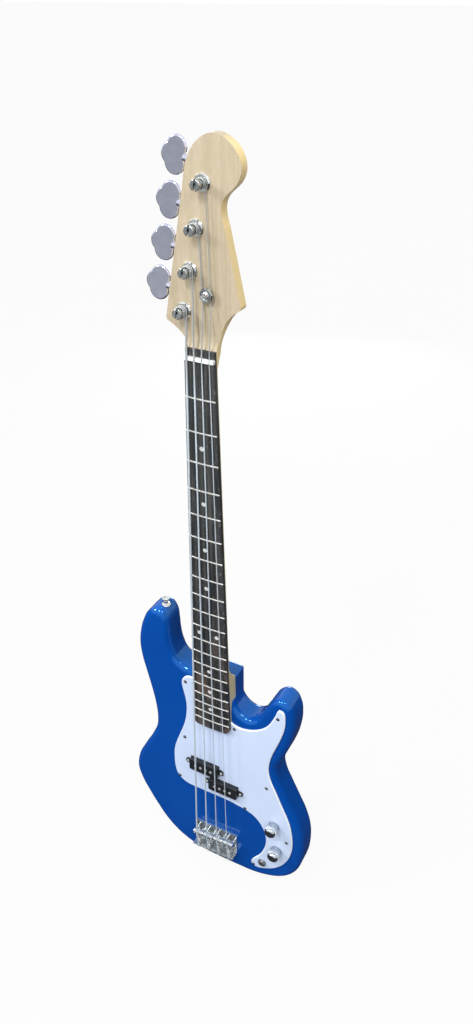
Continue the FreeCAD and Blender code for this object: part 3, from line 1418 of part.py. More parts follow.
def make_pickguard():
    blank = flat_piece("guard_blank", lambda sketch: sketch.addGeometry(spline(GUARD_OUTLINE, True)),
                       guard_front, size.guard_thickness, 0, saddle_line)
    dress(blank, "Chamfer", "Size", size.guard_bevel, at_depth(0))
    reach = size.guard_thickness * 2
    around_neck = neck_plan("guard_neck_gap", guard_front - 1, reach,
                            -heel_top + size.heel_length, size.pocket_fit)
    windows = []
    for label, (x, z) in zip(("bass", "treble"), pickup_spots):
        half_length = size.pickup_length / 2 + size.string_fit
        half_width = size.pickup_width / 2 + size.string_fit
        windows.append(box(f"guard_window_{label}", (x - half_length, x + half_length),
                           (guard_front - 1, body_front + 1), (z - half_width, z + half_width)))
    bushing = rod("guard_bushing", size.bushing_radius + size.fit, reach, (0, guard_front - 1, 0))
    bushing_spots = [spot(x, 0, z) for x, z in (volume_spot, tone_spot, jack_spot)]
    pilot = rod("guard_pilot", size.small_screw_radius + size.fit, reach)
    pilot_spots = guard_screw_spots(guard_front - 1) + pickup_screw_spots(guard_front - 1)
    keep("pickguard", cut("guard_cut", blank, around_neck, *windows,
                          copies("guard_bushings", bushing, bushing_spots),
                          copies("guard_pilots", pilot, pilot_spots)))
    fastener = screw("guard_screw_pattern", size.small_screw_head, size.small_screw_head / 2,
                     size.small_screw_radius, size.small_screw_length)
    spots = guard_screw_spots(guard_front) + pickup_screw_spots(guard_front - size.pickup_lug_thickness)
    keep("pickguard_screws", copies("guard_screw_set", fastener, spots))


def channel(label, start, end, width, depth):
    """A round-ended trough from one place to another, open at the front of the body."""
    (ax, az), (bx, bz) = [(float(x), float(z)) for x, z in (start, end)]
    length = math.hypot(bx - ax, bz - az)
    trough = doc.addObject("Part::Box", label)
    bind(trough, "Length", length)
    bind(trough, "Width", depth + 1)
    bind(trough, "Height", width)
    turn = Rotation(Vector(0, 1, 0), -math.degrees(math.atan2(bz - az, bx - ax)))
    corner = Vector(ax, float(body_front) - 1, az) + turn.multVec(Vector(0, 0, -float(width) / 2))
    trough.Placement = Placement(corner, turn)
    return trough


def body_hollows():
    """Everything that is routed or drilled into the slab."""
    front = body_front - 1
    deep = size.control_cavity_depth + 1
    clear = size.body_thickness / 2
    hollows = [neck_plan("body_pocket", front - clear, size.pocket_depth + clear + 1,
                         -heel_top + size.heel_length, size.pocket_fit)]
    hollows.append(box("body_mouth", (size.heel_half_width / 2, size.heel_half_width + size.heel_edge_round),
                       (front, size.neck_depth_heel),
                       (saddle_line + size.heel_mouth_up, saddle_line + heel_up + size.heel_corner)))
    for label, (x, z), radius in (("volume", volume_spot, size.pot_cavity_radius),
                                  ("tone", tone_spot, size.pot_cavity_radius),
                                  ("jack", jack_spot, size.jack_cavity_radius)):
        hollows.append(rod(f"body_well_{label}", radius, deep, (x, front, z)))
    hollows.append(channel("body_run_pots", volume_spot, tone_spot, size.pot_cavity_radius * 1.6,
                           size.control_cavity_depth))
    hollows.append(channel("body_run_jack", tone_spot, jack_spot, size.jack_cavity_radius * 1.4,
                           size.control_cavity_depth))
    for label, (x, z) in zip(("bass", "treble"), pickup_spots):
        half_length = size.pickup_length / 2 + size.pickup_cavity_margin
        half_width = size.pickup_width / 2 + size.pickup_cavity_margin
        hollows.append(box(f"body_bed_{label}", (x - half_length, x + half_length),
                           (front, body_front + size.pickup_cavity_depth), (z - half_width, z + half_width)))
    hollows.append(channel("body_run_pickups", pickup_spots[1], volume_spot, size.wire_channel_width * 1.5,
                           size.pickup_cavity_depth))
    start, end = ground_line()
    lead_in = unit(end - start) * float(size.wire_channel_width)
    hollows.append(shaped("body_ground_hole", Part.makeCylinder(
        float(size.wire_radius) + 0.2, (end - start + lead_in).Length, start - lead_in, end - start)))
    pilot = rod("body_pilot", size.small_screw_radius + size.fit, size.small_screw_length + 1)
    hollows.append(copies("body_guard_pilots", pilot, guard_screw_spots(guard_front)))
    hollows.append(copies("body_pickup_pilots", pilot,
                          pickup_screw_spots(guard_front - size.pickup_lug_thickness)))
    bridge_pilot = rod("body_bridge_pilot", size.bridge_screw_radius + size.fit, size.bridge_screw_length + 1)
    hollows.append(copies("body_bridge_pilots", bridge_pilot, bridge_screw_spots(plate_top)))
    bolt = rod("body_bolt_hole", size.neck_screw_radius + size.fit, size.body_thickness * 1.2)
    hollows.append(copies("body_bolt_holes", bolt, neck_screw_spots(body_back + 2)))
    seat = rod("body_strap_seat", size.strap_felt_radius + size.string_fit, size.strap_seat_depth * 4,
               (0, -size.strap_seat_depth * 4, 0))
    strap_pilot = rod("body_strap_pilot", size.strap_screw_radius + size.fit, size.strap_screw_length + 2,
                      (0, -size.strap_button_height, 0))
    for place_of in strap_spots():
        hollows.append(copies("body_strap_bed", seat, [place_of]))
        hollows.append(copies("body_strap_hole", strap_pilot, [place_of]))
    return hollows


def strap_spots():
    """Seats of the two strap buttons: local Y points into the wood."""
    middle = (body_front + body_back) / 2
    horn_z = saddle_line + size.horn_button_up - size.strap_seat_depth
    butt_z = saddle_line + size.butt_button_up + size.strap_seat_depth
    return [spot(size.horn_button_x, middle, horn_z, TO_BUTT),
            spot(size.butt_button_x, middle, butt_z, TO_HEAD)]


def make_body():
    slab = flat_piece("body_slab", lambda sketch: sketch.addGeometry(rounded_outline(BODY_OUTLINE)), body_front,
                      size.body_thickness, 0, saddle_line)
    thickness = float(size.body_thickness)
    round_off(slab, size.body_edge_round, lambda edge: at_depth(0)(edge) or at_depth(thickness)(edge))
    keep("body", cut("body_cut", fuse("body_blank", slab, heel_block()), *body_hollows()))


def heel_block():
    """The square end of the body behind the neck, level with the floor of the neck pocket."""
    half = size.heel_half_width
    low = size.heel_mouth_up - size.heel_root
    corners = [(-half, low), (half, low), (half, heel_up), (-half / 4, heel_up),
               (-half, heel_up - size.body_edge_round)]
    depth = body_back - size.neck_depth_heel
    block = flat_piece("body_heel", lambda sketch: polygon(sketch, corners), size.neck_depth_heel, depth,
                       0, saddle_line)
    round_off(block, size.heel_corner, lambda edge: runs_deep(edge) and edge.BoundBox.ZMax > float(low) + 1)
    back = float(depth)
    return round_off(block, size.heel_edge_round,
                     lambda edge: at_depth(back)(edge) and edge.BoundBox.ZMax > float(low) + 1)


def make_strap_buttons():
    felt_front = -size.strap_felt_thickness
    front = felt_front - size.strap_button_height
    bore = size.strap_screw_radius + size.fit
    head_depth = size.strap_screw_head * 0.6
    button = turned("strap_button_pattern", [
        (size.strap_screw_head + size.fit, front), (size.strap_button_radius, front),
        (size.strap_button_radius, front + size.strap_button_height * 0.18),
        (size.strap_button_waist, front + size.strap_button_height * 0.5),
        (size.strap_button_waist, felt_front - size.strap_button_height * 0.25),
        (size.strap_button_radius, felt_front - size.strap_button_height * 0.1),
        (size.strap_button_radius, felt_front), (bore, felt_front), (bore, front + head_depth),
        (size.strap_screw_head + size.fit, front + head_depth),
    ])
    keep("strap_buttons", copies("strap_button_set", button, strap_spots()))
    felt = turned("strap_felt_pattern", [(bore, felt_front), (size.strap_felt_radius, felt_front),
                                         (size.strap_felt_radius, 0), (bore, 0)])
    keep("strap_felts", copies("strap_felt_set", felt, strap_spots()))
    fastener = screw("strap_screw_pattern", size.strap_screw_head, head_depth, size.strap_screw_radius,
                     size.strap_screw_length)
    spots = [place_of.multiply(spot(0, front + head_depth, 0)) for place_of in strap_spots()]
    keep("strap_button_screws", copies("strap_screw_set", fastener, spots))


def make_neck_plate():
    half_width = size.neck_plate_width / 2
    half_length = size.neck_plate_length / 2
    corners = [(-half_width, -half_length), (half_width, -half_length), (half_width, half_length),
               (-half_width, half_length)]
    blank = flat_piece("neck_plate_blank", lambda sketch: polygon(sketch, corners), body_back,
                       size.neck_plate_thickness, 0, neck_plate_z)
    round_off(blank, size.neck_plate_corner, runs_deep)
    back = body_back + size.neck_plate_thickness
    hole = rod("neck_plate_hole", size.neck_screw_radius + size.fit, size.neck_plate_thickness * 3)
    keep("neck_plate", cut("neck_plate_cut", blank,
                           copies("neck_plate_holes", hole, neck_screw_spots(back + 1))))
    fastener = screw("neck_screw_pattern", size.neck_screw_head, size.neck_screw_head / 2,
                     size.neck_screw_radius,
                     size.neck_screw_length)
    keep("neck_screws", copies("neck_screw_set", fastener, neck_screw_spots(back)))


make_body()
make_pickguard()
make_neck_plate()
make_neck()
make_fretboard()
make_frets()
make_nut()
make_truss_rod()
make_ferrules()
make_posts()
make_gears()
make_tuner_plates()
make_keys()
make_string_tree()
make_strings()
make_bridge_plate()
make_saddles()
make_intonation()
make_pickups()
make_controls()
make_jack()
make_wiring()
make_strap_buttons()

doc.recompute()
failed = [item.Label for item in doc.Objects if {"Invalid", "Error"} & set(item.State)]
unsound = [label for label, item in parts.items()
           if item.Shape.isNull() or not item.Shape.isValid() or not item.Shape.Solids]
if failed or unsound:
    raise RuntimeError(f"failed: {failed}, unsound: {unsound}")
os.makedirs("parts", exist_ok=True)
for label, item in parts.items():
    item.Shape.exportStep(f"parts/{label}.step")
print(f"{len(parts)} pieces, {sum(len(item.Shape.Solids) for item in parts.values())} solids")
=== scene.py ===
# %% [markdown]
# # Dressing a four-string electric bass
# The solid model of the bass is loaded as a fixed frame: every piece is already in its place, in metres.
# The nut is at the origin, X runs to the thin strings, Y into the body and Z up to the head. What is left
# for Blender is the look: lacquer, maple, rosewood, chrome, wire and felt, light and a camera.

# %% Load the frame
import math

import bmesh
import bpy
from mathutils import Matrix, Vector


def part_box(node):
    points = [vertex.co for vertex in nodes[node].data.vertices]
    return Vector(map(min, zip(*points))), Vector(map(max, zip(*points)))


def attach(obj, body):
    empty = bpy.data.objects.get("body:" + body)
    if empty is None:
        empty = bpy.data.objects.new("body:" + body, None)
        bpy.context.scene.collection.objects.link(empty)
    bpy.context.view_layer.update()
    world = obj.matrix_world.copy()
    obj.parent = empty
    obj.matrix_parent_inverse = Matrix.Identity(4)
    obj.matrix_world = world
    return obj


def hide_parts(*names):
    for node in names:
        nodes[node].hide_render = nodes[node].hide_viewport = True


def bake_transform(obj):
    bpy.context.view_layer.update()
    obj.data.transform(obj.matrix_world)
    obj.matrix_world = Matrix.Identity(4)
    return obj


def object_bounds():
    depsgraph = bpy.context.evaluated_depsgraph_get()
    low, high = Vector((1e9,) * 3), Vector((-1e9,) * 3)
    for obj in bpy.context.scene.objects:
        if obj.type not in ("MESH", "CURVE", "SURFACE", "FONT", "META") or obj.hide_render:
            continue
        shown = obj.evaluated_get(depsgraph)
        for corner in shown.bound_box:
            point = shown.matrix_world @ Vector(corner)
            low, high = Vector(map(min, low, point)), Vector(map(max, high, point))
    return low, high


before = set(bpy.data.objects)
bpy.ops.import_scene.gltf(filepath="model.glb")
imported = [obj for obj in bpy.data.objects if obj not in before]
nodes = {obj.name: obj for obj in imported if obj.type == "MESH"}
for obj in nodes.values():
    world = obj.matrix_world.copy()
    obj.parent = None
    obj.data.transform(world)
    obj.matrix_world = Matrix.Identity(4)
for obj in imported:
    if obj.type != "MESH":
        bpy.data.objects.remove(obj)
cad_low, cad_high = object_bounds()
print("pieces:", len(nodes), "box:", [round(v, 3) for v in cad_high - cad_low])

# %% [markdown]
# ## A small kit for finishes
# Every finish is one Principled shader fed by patterns. A pattern could be painted on a UV map, but the
# solids carry none, so the patterns read Object coordinates: they are in metres, and 400 cells are 400 in a
# metre. Numbers that are the same all over stay on the shader's own sockets.

# %% The finish helper
NOISE_SPAN = (0.3, 0.7)


def add_node(tree, kind, inputs, **settings):
    """A new node with these settings, and with inputs that are each a socket to link or a value."""
    node = tree.nodes.new(kind)
    for label, value in settings.items():
        setattr(node, label, value)
    for label, value in inputs.items():
        if isinstance(value, bpy.types.NodeSocket):
            tree.links.new(value, node.inputs[label])
        else:
            node.inputs[label].default_value = value
    return node


class Finish:
    """One procedural finish: a Principled shader and the patterns that feed it."""

    def __init__(self, name, **sockets):
        self.material = bpy.data.materials.new(name)
        self.material.use_nodes = True
        self.tree = self.material.node_tree
        self.shader = self.tree.nodes["Principled BSDF"]
        self.place = self.tree.nodes.new("ShaderNodeTexCoord").outputs["Object"]
        for label, value in sockets.items():
            self.shader.inputs[label.replace("_", " ")].default_value = value

    def add(self, kind, inputs, **settings):
        return add_node(self.tree, kind, inputs, **settings)

    def clouds(self, cells, detail=3.0, distortion=0.0):
        """Noise with this many cells in a metre: one number, or one for each axis."""
        stretch = cells if isinstance(cells, tuple) else (cells, cells, cells)
        placed = self.add("ShaderNodeMapping", {"Vector": self.place, "Scale": stretch}).outputs["Vector"]
        inputs = {"Vector": placed, "Scale": 1.0, "Detail": detail, "Distortion": distortion}
        return self.add("ShaderNodeTexNoise", inputs).outputs[0]

    def rings(self, pitch, axis="Z"):
        """Even ridges with this pitch in metres along one axis."""
        inputs = {"Vector": self.place, "Scale": math.pi / (10 * pitch)}
        return self.add("ShaderNodeTexWave", inputs, wave_type="BANDS", bands_direction=axis).outputs["Fac"]

    def colour(self, pattern, *stops):
        """Takes the colour from a ramp of shades along a pattern."""
        ramp = self.add("ShaderNodeValToRGB", {"Fac": pattern})
        points = ramp.color_ramp.elements
        while len(points) < len(stops):
            points.new(0.5)
        for point, (position, shade) in zip(points, stops):
            point.position = position
            point.color = (*shade, 1.0)
        self.tree.links.new(ramp.outputs["Color"], self.shader.inputs["Base Color"])

    def tint(self, mask, shade, blend="MIX"):
        """Takes the colour to a shade, or multiplies it by one, where the mask is one."""
        base = self.shader.inputs["Base Color"]
        inputs = {0: mask, 6: base.links[0].from_socket, 7: (*shade, 1.0)}
        mix = self.add("ShaderNodeMix", inputs, data_type="RGBA", blend_type=blend)
        self.tree.links.new(mix.outputs[2], base)

    def between(self, value, first, last, low=0.0, high=1.0):
        """Low at the first value and high at the last, with an even rise between them."""
        inputs = {"Value": value, "From Min": first, "From Max": last, "To Min": low, "To Max": high}
        return self.add("ShaderNodeMapRange", inputs).outputs["Result"]

    def facing(self, axis):
        """How squarely a face looks along an axis, either way: one if it does, zero if it lies along it."""
        normal = self.tree.nodes.new("ShaderNodeNewGeometry").outputs["Normal"]
        part = self.add("ShaderNodeSeparateXYZ", {"Vector": normal}).outputs[axis]
        return self.add("ShaderNodeMath", {0: part}, operation="ABSOLUTE").outputs[0]

    def both(self, mask, other):
        """One only where both masks are."""
        return self.add("ShaderNodeMath", {0: mask, 1: other}, operation="MULTIPLY").outputs[0]

    def along(self, axis):
        """The place along an axis of the frame, in metres."""
        return self.add("ShaderNodeSeparateXYZ", {"Vector": self.place}).outputs[axis]

    def rough(self, pattern, low, high):
        """Lets the roughness drift from low to high with a pattern."""
        self.tree.links.new(self.between(pattern, *NOISE_SPAN, low, high), self.shader.inputs["Roughness"])

    def relief(self, pattern, strength, depth):
        """A bump of this depth in metres."""
        bump = self.add("ShaderNodeBump", {"Height": pattern, "Strength": strength, "Distance": depth})
        self.tree.links.new(bump.outputs["Normal"], self.shader.inputs["Normal"])


dressed = set()


def dress(finish, *names):
    """Puts a finish on these pieces of the frame."""
    for name in names:
        for slot in nodes[name].material_slots:
            slot.material = finish.material
    dressed.update(names)
    print(finish.material.name, "on", ", ".join(names))


# %% [markdown]
# ## The lacquered body
# The body is a slab of wood under a thick cobalt gloss lacquer. Real lacquer is never quite flat: it has a
# faint orange peel that softens reflections, and hairline polishing marks. A little noise in the colour, in
# the roughness and in a very shallow bump gives that without hiding the sharp highlights on the rounded
# edge. The lacquer is tinted right through, so what it mirrors turns a little blue.

# %% Cobalt lacquer
lacquer = Finish("cobalt_lacquer", Specular_IOR_Level=0.95, Specular_Tint=(0.25, 0.72, 1.0, 1.0))
lacquer.colour(lacquer.clouds(5, 4), (0.35, (0.001, 0.064, 0.355)), (0.65, (0.002, 0.074, 0.395)))
lacquer.rough(lacquer.clouds(60, 5), 0.05, 0.11)
lacquer.relief(lacquer.clouds(420, 2), 0.05, 0.0002)
dress(lacquer, "body")

# %% [markdown]
# ## The pickguard
# One ply of white plastic, cut with a bevelled edge and screwed down. Plastic sheet is smoother than
# lacquer but it yellows and scuffs in patches, so the colour drifts by a few percent and the gloss is
# broken by fine scuffs. Its white is tinted blue, in part a painted blue reflection. The faces of the
# bevel, neither front nor back, are painted a shade whiter: a painted highlight along the edge.

# %% White plastic
guard_white = Finish("white_plastic", Specular_IOR_Level=0.4)
# The blue in this white is in part a painted blue reflection.
guard_white.colour(guard_white.clouds(9, 3), (0.3, (0.625, 0.735, 0.955)), (0.7, (0.650, 0.760, 0.980)))
# Painted highlight: the bevel faces, neither front nor back, are painted whiter.
painted_bevel_highlight = guard_white.between(guard_white.facing("Y"), 0.95, 0.8)
guard_white.tint(painted_bevel_highlight, (0.95, 0.99, 1.0))
guard_white.rough(guard_white.clouds(40, 4), 0.10, 0.16)
guard_white.relief(guard_white.clouds(90, 2), 0.02, 0.0002)
dress(guard_white, "pickguard")

# %% [markdown]
# ## The maple neck and head
# Maple is pale, with thin darker grain lines along its length and silky fibres between them. A noise that
# is stretched along Z gives long streaks: one broad layer for the annual grain, one fine layer for the
# fibres that also catch the light as a shallow bump. The sides are painted golden and lighter, a painted
# warm light that is strongest on the head, and towards the heel they are painted browner and darker, a
# painted shade between the horns.

# %% Satin maple
PAINTED_HEAD_LIGHT_REACH = (-0.03, 0.03)
PAINTED_HEEL_SHADE_REACH = (-0.30, -0.48)
maple = Finish("satin_maple", Specular_IOR_Level=0.35, Coat_Weight=0.15, Coat_Roughness=0.25)
grain = maple.clouds((150, 150, 6.0), 8, 0.8)
pale_line, mid_line, dark_line = (0.526, 0.448, 0.326), (0.495, 0.418, 0.298), (0.455, 0.380, 0.264)
maple.colour(grain, (0.30, dark_line), (0.5, mid_line), (0.70, pale_line))
fibres = maple.clouds((1100, 1100, 160), 4)
maple.tint(maple.between(fibres, 0.62, 0.4), (0.93, 0.92, 0.89), "MULTIPLY")
# Painted light: the faces that look along X are painted golden and lighter.
side = maple.between(maple.facing("X"), 0.3, 0.7)
maple.tint(side, (0.95, 0.80, 0.50))
up_neck = maple.along("Z")
# Painted light: on the head the sides are painted more golden still.
maple.tint(maple.both(side, maple.between(up_neck, *PAINTED_HEAD_LIGHT_REACH)), (1.0, 0.92, 0.72), "MULTIPLY")
# Painted shade: towards the heel the sides are painted darker.
maple.tint(maple.both(side, maple.between(up_neck, *PAINTED_HEEL_SHADE_REACH)), (0.68, 0.68, 0.62), "MULTIPLY")
maple.rough(fibres, 0.32, 0.46)
maple.relief(fibres, 0.1, 0.0002)
dress(maple, "neck")

# %% [markdown]
# ## The rosewood board
# The board is nearly black, with brown streaks and open pores that run along the neck. The pores are short
# dark dashes, so their noise is stretched less than the streaks, and they are pressed in by the bump. Small
# grey flecks lie between them, and near the last frets the board is a warmer brown in patches.

# %% Dark rosewood
LAST_FRETS_REACH = (-0.40, -0.46)
rosewood = Finish("dark_rosewood", Specular_IOR_Level=0.4)
streaks = rosewood.clouds((190, 190, 4.5), 5, 0.6)
dark_streak, mid_streak, light_streak = (0.014, 0.016, 0.018), (0.036, 0.039, 0.041), (0.085, 0.083, 0.080)
rosewood.colour(streaks, (0.36, dark_streak), (0.52, mid_streak), (0.68, light_streak))
# Near the last frets the board is coloured a warmer brown in patches.
warm_patches = rosewood.between(rosewood.clouds((40, 40, 16), 2), 0.52, 0.66)
last_frets = rosewood.between(rosewood.along("Z"), *LAST_FRETS_REACH)
rosewood.tint(rosewood.both(warm_patches, last_frets), (0.100, 0.072, 0.060))
flecks = rosewood.clouds((420, 420, 120), 3)
rosewood.tint(rosewood.between(flecks, 0.58, 0.74), (0.12, 0.125, 0.13))
pores = rosewood.clouds((1300, 1300, 85), 2)
rosewood.rough(pores, 0.36, 0.6)
rosewood.relief(pores, 0.3, 0.0003)
dress(rosewood, "fretboard")

# %% [markdown]
# ## Bone and pearl
# The nut is bone and the position dots are pearl plastic. Both are off white; bone has fine streaks and
# pearl has cloudy patches that shift in brightness.

# %% Bone nut and pearl dots
bone = Finish("bone", Specular_IOR_Level=0.45, Subsurface_Weight=0.05, Subsurface_Scale=0.001)
bone.colour(bone.clouds(500, 4), (0.3, (0.80, 0.82, 0.80)), (0.7, (0.88, 0.90, 0.88)))
bone.rough(bone.clouds((900, 900, 300), 3), 0.28, 0.42)
dress(bone, "nut")
pearl = Finish("pearl", Specular_IOR_Level=0.5)
pearl.colour(pearl.clouds(420, 3, 1.5), (0.35, (0.60, 0.62, 0.62)), (0.65, (0.80, 0.82, 0.82)))
pearl.rough(pearl.clouds(300, 3), 0.2, 0.32)
dress(pearl, "position_dots")

# %% [markdown]
# ## Chrome and nickel
# The plated pieces differ by how well they were polished and by how much they are handled. Chrome is bluish
# and almost a mirror, the bridge is a satin chrome, and nickel silver frets are warmer and worn dull along
# their tops. The chrome comes in lit and shaded copies: the plates, ferrules and strap buttons are painted
# lighter, the posts, tree, knobs and bridge are painted darker, a painted shade, and the keys are painted
# lavender, a painted reflection. Smudges are a soft noise in the roughness, so that reflections break up a
# little instead of being perfect.

# %% Plated metals
STRINGS = ("e", "a", "d", "g")
MARK_DEPTH = 0.0001


def metal(name, dark, light, smooth, dull, marks, relief, share=1.0):
    """A bare or plated metal: two shades, two levels of polish, and fine marks of this many cells in a metre.

    A share below one is for metal so finely ribbed or blasted that it scatters a part of the light.
    """
    finish = Finish(name, Metallic=share)
    finish.colour(finish.clouds(120, 4), (0.35, dark), (0.65, light))
    finish.rough(finish.clouds(70, 5), smooth, dull)
    finish.relief(finish.clouds(marks, 2), relief, MARK_DEPTH)
    return finish


def each(piece):
    """The names of a piece that every string has."""
    return [f"{piece}_{letter}" for letter in STRINGS]


# Painted light: this chrome is painted lighter than bare chrome.
chrome = metal("chrome_plate", (0.75, 0.78, 0.78), (0.83, 0.86, 0.86), 0.04, 0.1, 900, 0.002)
# Painted shade: the posts and the tree get a darker copy of the chrome.
shaded_post_chrome = metal("shaded_post_chrome", (0.44, 0.47, 0.48), (0.54, 0.57, 0.58), 0.04, 0.1, 900, 0.002)
# Painted reflection: the keys are painted lavender.
lavender_reflection_chrome = metal("lavender_reflection_chrome", (0.64, 0.66, 0.82), (0.72, 0.74, 0.90), 0.04, 0.12, 900, 0.002)
# Painted shade: the knobs get a darker copy of the chrome.
shaded_knob_chrome = metal("shaded_knob_chrome", (0.50, 0.55, 0.60), (0.57, 0.62, 0.67), 0.12, 0.17, 900, 0.002)
# Painted shade: the bridge and saddles get a darker copy of the chrome, with a satin polish.
shaded_satin_chrome = metal("shaded_satin_chrome", (0.56, 0.61, 0.64), (0.66, 0.71, 0.74), 0.12, 0.22, 900, 0.005, 0.85)
nickel = metal("nickel_silver", (0.56, 0.55, 0.52), (0.68, 0.67, 0.64), 0.3, 0.42,
               (1600, 400, 400), 0.06, 0.6)
dress(chrome, "tuner_plates", "tuner_ferrules", "strap_buttons", "neck_plate")
dress(shaded_post_chrome, "string_tree", *each("tuner_post"))
dress(lavender_reflection_chrome, *each("tuner_key"))
dress(shaded_knob_chrome, "knob_volume", "knob_tone")
dress(shaded_satin_chrome, "bridge_plate", *each("saddle"))
dress(nickel, "frets", "jack_contact")

# %% [markdown]
# ## Screws, poles and gears
# Screw steel is darker than chrome, the poles of the pickup are ground flat, and the gears and shafts are
# brass. The four screws in the pickup's lugs stand in front of the guard and are bright; those in the guard
# are dull. They are one piece of the frame, so their finish changes at a depth between the two kinds of
# head.

# %% Screws and small metal
LUG_SCREW_STAND = 0.0022
LUG_SCREW_FADE = 0.0002
steel = metal("screw_steel", (0.50, 0.50, 0.51), (0.66, 0.66, 0.67), 0.2, 0.36, 1200, 0.1, 0.8)
pole_steel = metal("ground_pole_steel", (0.62, 0.62, 0.61), (0.78, 0.78, 0.77), 0.24, 0.4,
                   (3000, 600, 600), 0.15, 0.5)
dark_nickel = metal("dark_nickel", (0.34, 0.34, 0.35), (0.48, 0.48, 0.49), 0.15, 0.3, 900, 0.05, 0.8)
brass = metal("gear_brass", (0.60, 0.42, 0.17), (0.74, 0.55, 0.26), 0.2, 0.36, (1500, 1500, 500), 0.1)
zinc = metal("plated_zinc", (0.44, 0.45, 0.46), (0.58, 0.59, 0.60), 0.3, 0.5, 700, 0.15)
guard_screw = metal("guard_screw", (0.10, 0.10, 0.10), (0.20, 0.20, 0.20), 0.2, 0.38, 1200, 0.1, 0.8)
lug_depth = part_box("pickguard")[0].y - LUG_SCREW_STAND
in_lugs = guard_screw.between(guard_screw.along("Y"), lug_depth, lug_depth - LUG_SCREW_FADE)
guard_screw.tint(in_lugs, (0.75, 0.76, 0.77))
dress(guard_screw, "pickguard_screws")
dress(steel, "head_screws", "bridge_screws", "intonation_screws", "neck_screws", "strap_button_screws")
dress(steel, "truss_rod", *each("intonation_spring"))
dress(pole_steel, "pickup_poles")
dress(dark_nickel, "output_jack", "panel_nuts")
dress(brass, "pot_shaft_volume", "pot_shaft_tone", *each("tuner_gear"))
dress(zinc, "pot_cans")

# %% [markdown]
# ## Wound strings
# A bass string is a steel core wrapped in nickel wire, so it is ribbed all along. The ribs are far too many
# to model one by one; even bands along the string, read as a bump, catch the light the same way. The wire
# is a bright bluish white, and past the nut, on the head, it is made darker.

# %% Wound wire
WRAP_PITCHES = (0.00052, 0.00046, 0.0004, 0.00034)
WRAP_DEPTH = 0.00008
DARKER_ON_HEAD_REACH = (-0.04, 0.02)
for letter, pitch in zip(STRINGS, WRAP_PITCHES):
    wire = Finish(f"wound_wire_{letter}", Metallic=0.45)
    wire.colour(wire.clouds((40, 40, 14), 3), (0.3, (0.74, 0.83, 0.93)), (0.7, (0.84, 0.93, 1.0)))
    # Past the nut, on the head, the wire is made darker.
    wire.tint(wire.between(wire.along("Z"), *DARKER_ON_HEAD_REACH), (0.50, 0.47, 0.43), "MULTIPLY")
    wire.rough(wire.clouds((300, 300, 90), 3), 0.36, 0.5)
    wire.relief(wire.rings(pitch), 0.3, WRAP_DEPTH)
    dress(wire, f"string_{letter}")

# %% [markdown]
# ## The pickup
# The split pickup has two moulded black covers over black bobbins. The mould leaves a faint satin skin, which
# a very fine bump and an uneven gloss give without any more geometry.

# %% Moulded black
black_plastic = Finish("moulded_black", Specular_IOR_Level=0.45)
deep_black, worn_black = (0.010, 0.012, 0.014), (0.018, 0.021, 0.024)
black_plastic.colour(black_plastic.clouds(60, 3), (0.3, deep_black), (0.7, worn_black))
black_plastic.rough(black_plastic.clouds(240, 4), 0.26, 0.4)
black_plastic.relief(black_plastic.clouds(2200, 2), 0.12, 0.0001)
dress(black_plastic, "pickup_covers", "pickup_bobbins")

# %% [markdown]
# ## What lies under the guard
# Coils of copper wire, foam, leads and a capacitor are seen only when the guard comes off, but they are
# finished too. The leads are wrapped in waxed cloth, whose weave is a pattern of slanting bands.

# %% Hidden pieces
LEAD_WEAVE = 0.0008
copper = metal("enamelled_copper", (0.42, 0.15, 0.05), (0.60, 0.26, 0.11), 0.25, 0.4, (200, 5000, 200), 0.3)
dress(copper, "pickup_coils")
foam = Finish("grey_foam", Specular_IOR_Level=0.2)
foam.colour(foam.clouds(900, 4), (0.35, (0.05, 0.05, 0.055)), (0.65, (0.10, 0.10, 0.105)))
foam.rough(foam.clouds(900, 4), 0.8, 0.95)
foam.relief(foam.clouds(1400, 3), 0.6, 0.0005)
dress(foam, "pickup_foam")
lead_cloth = Finish("waxed_lead_cloth", Specular_IOR_Level=0.3)
lead_cloth.colour(lead_cloth.clouds(1500, 3), (0.3, (0.42, 0.37, 0.27)), (0.7, (0.58, 0.52, 0.40)))
lead_cloth.rough(lead_cloth.clouds(800, 3), 0.6, 0.8)
lead_cloth.relief(lead_cloth.rings(LEAD_WEAVE, "DIAGONAL"), 0.4, 0.0002)
dress(lead_cloth, "wiring")
capacitor_skin = Finish("dipped_capacitor", Specular_IOR_Level=0.45)
capacitor_skin.colour(capacitor_skin.clouds(200, 3), (0.3, (0.20, 0.045, 0.02)), (0.7, (0.30, 0.07, 0.03)))
capacitor_skin.rough(capacitor_skin.clouds(300, 3), 0.2, 0.4)
dress(capacitor_skin, "tone_capacitor")
print("nodes with no finish yet:", sorted(set(nodes) - dressed))

# %% [markdown]
# ## Pieces that repeat: a kit for Geometry Nodes
# Knurls and springs repeat one small shape by a rule, which is what Geometry Nodes are for: a tree with
# named inputs makes the shape, and the finished result is then taken as a plain mesh that can ride on its
# body.

# %% Node tree helpers
def new_tree(name, **sizes):
    """A tree with these named inputs in metres or counts, and a mesh as its output."""
    tree = bpy.data.node_groups.new(name, "GeometryNodeTree")
    tree.interface.new_socket("Mesh", in_out="OUTPUT", socket_type="NodeSocketGeometry")
    for label, value in sizes.items():
        kind = "NodeSocketInt" if isinstance(value, int) else "NodeSocketFloat"
        tree.interface.new_socket(label, in_out="INPUT", socket_type=kind).default_value = value
    return tree, tree.nodes.new("NodeGroupInput").outputs


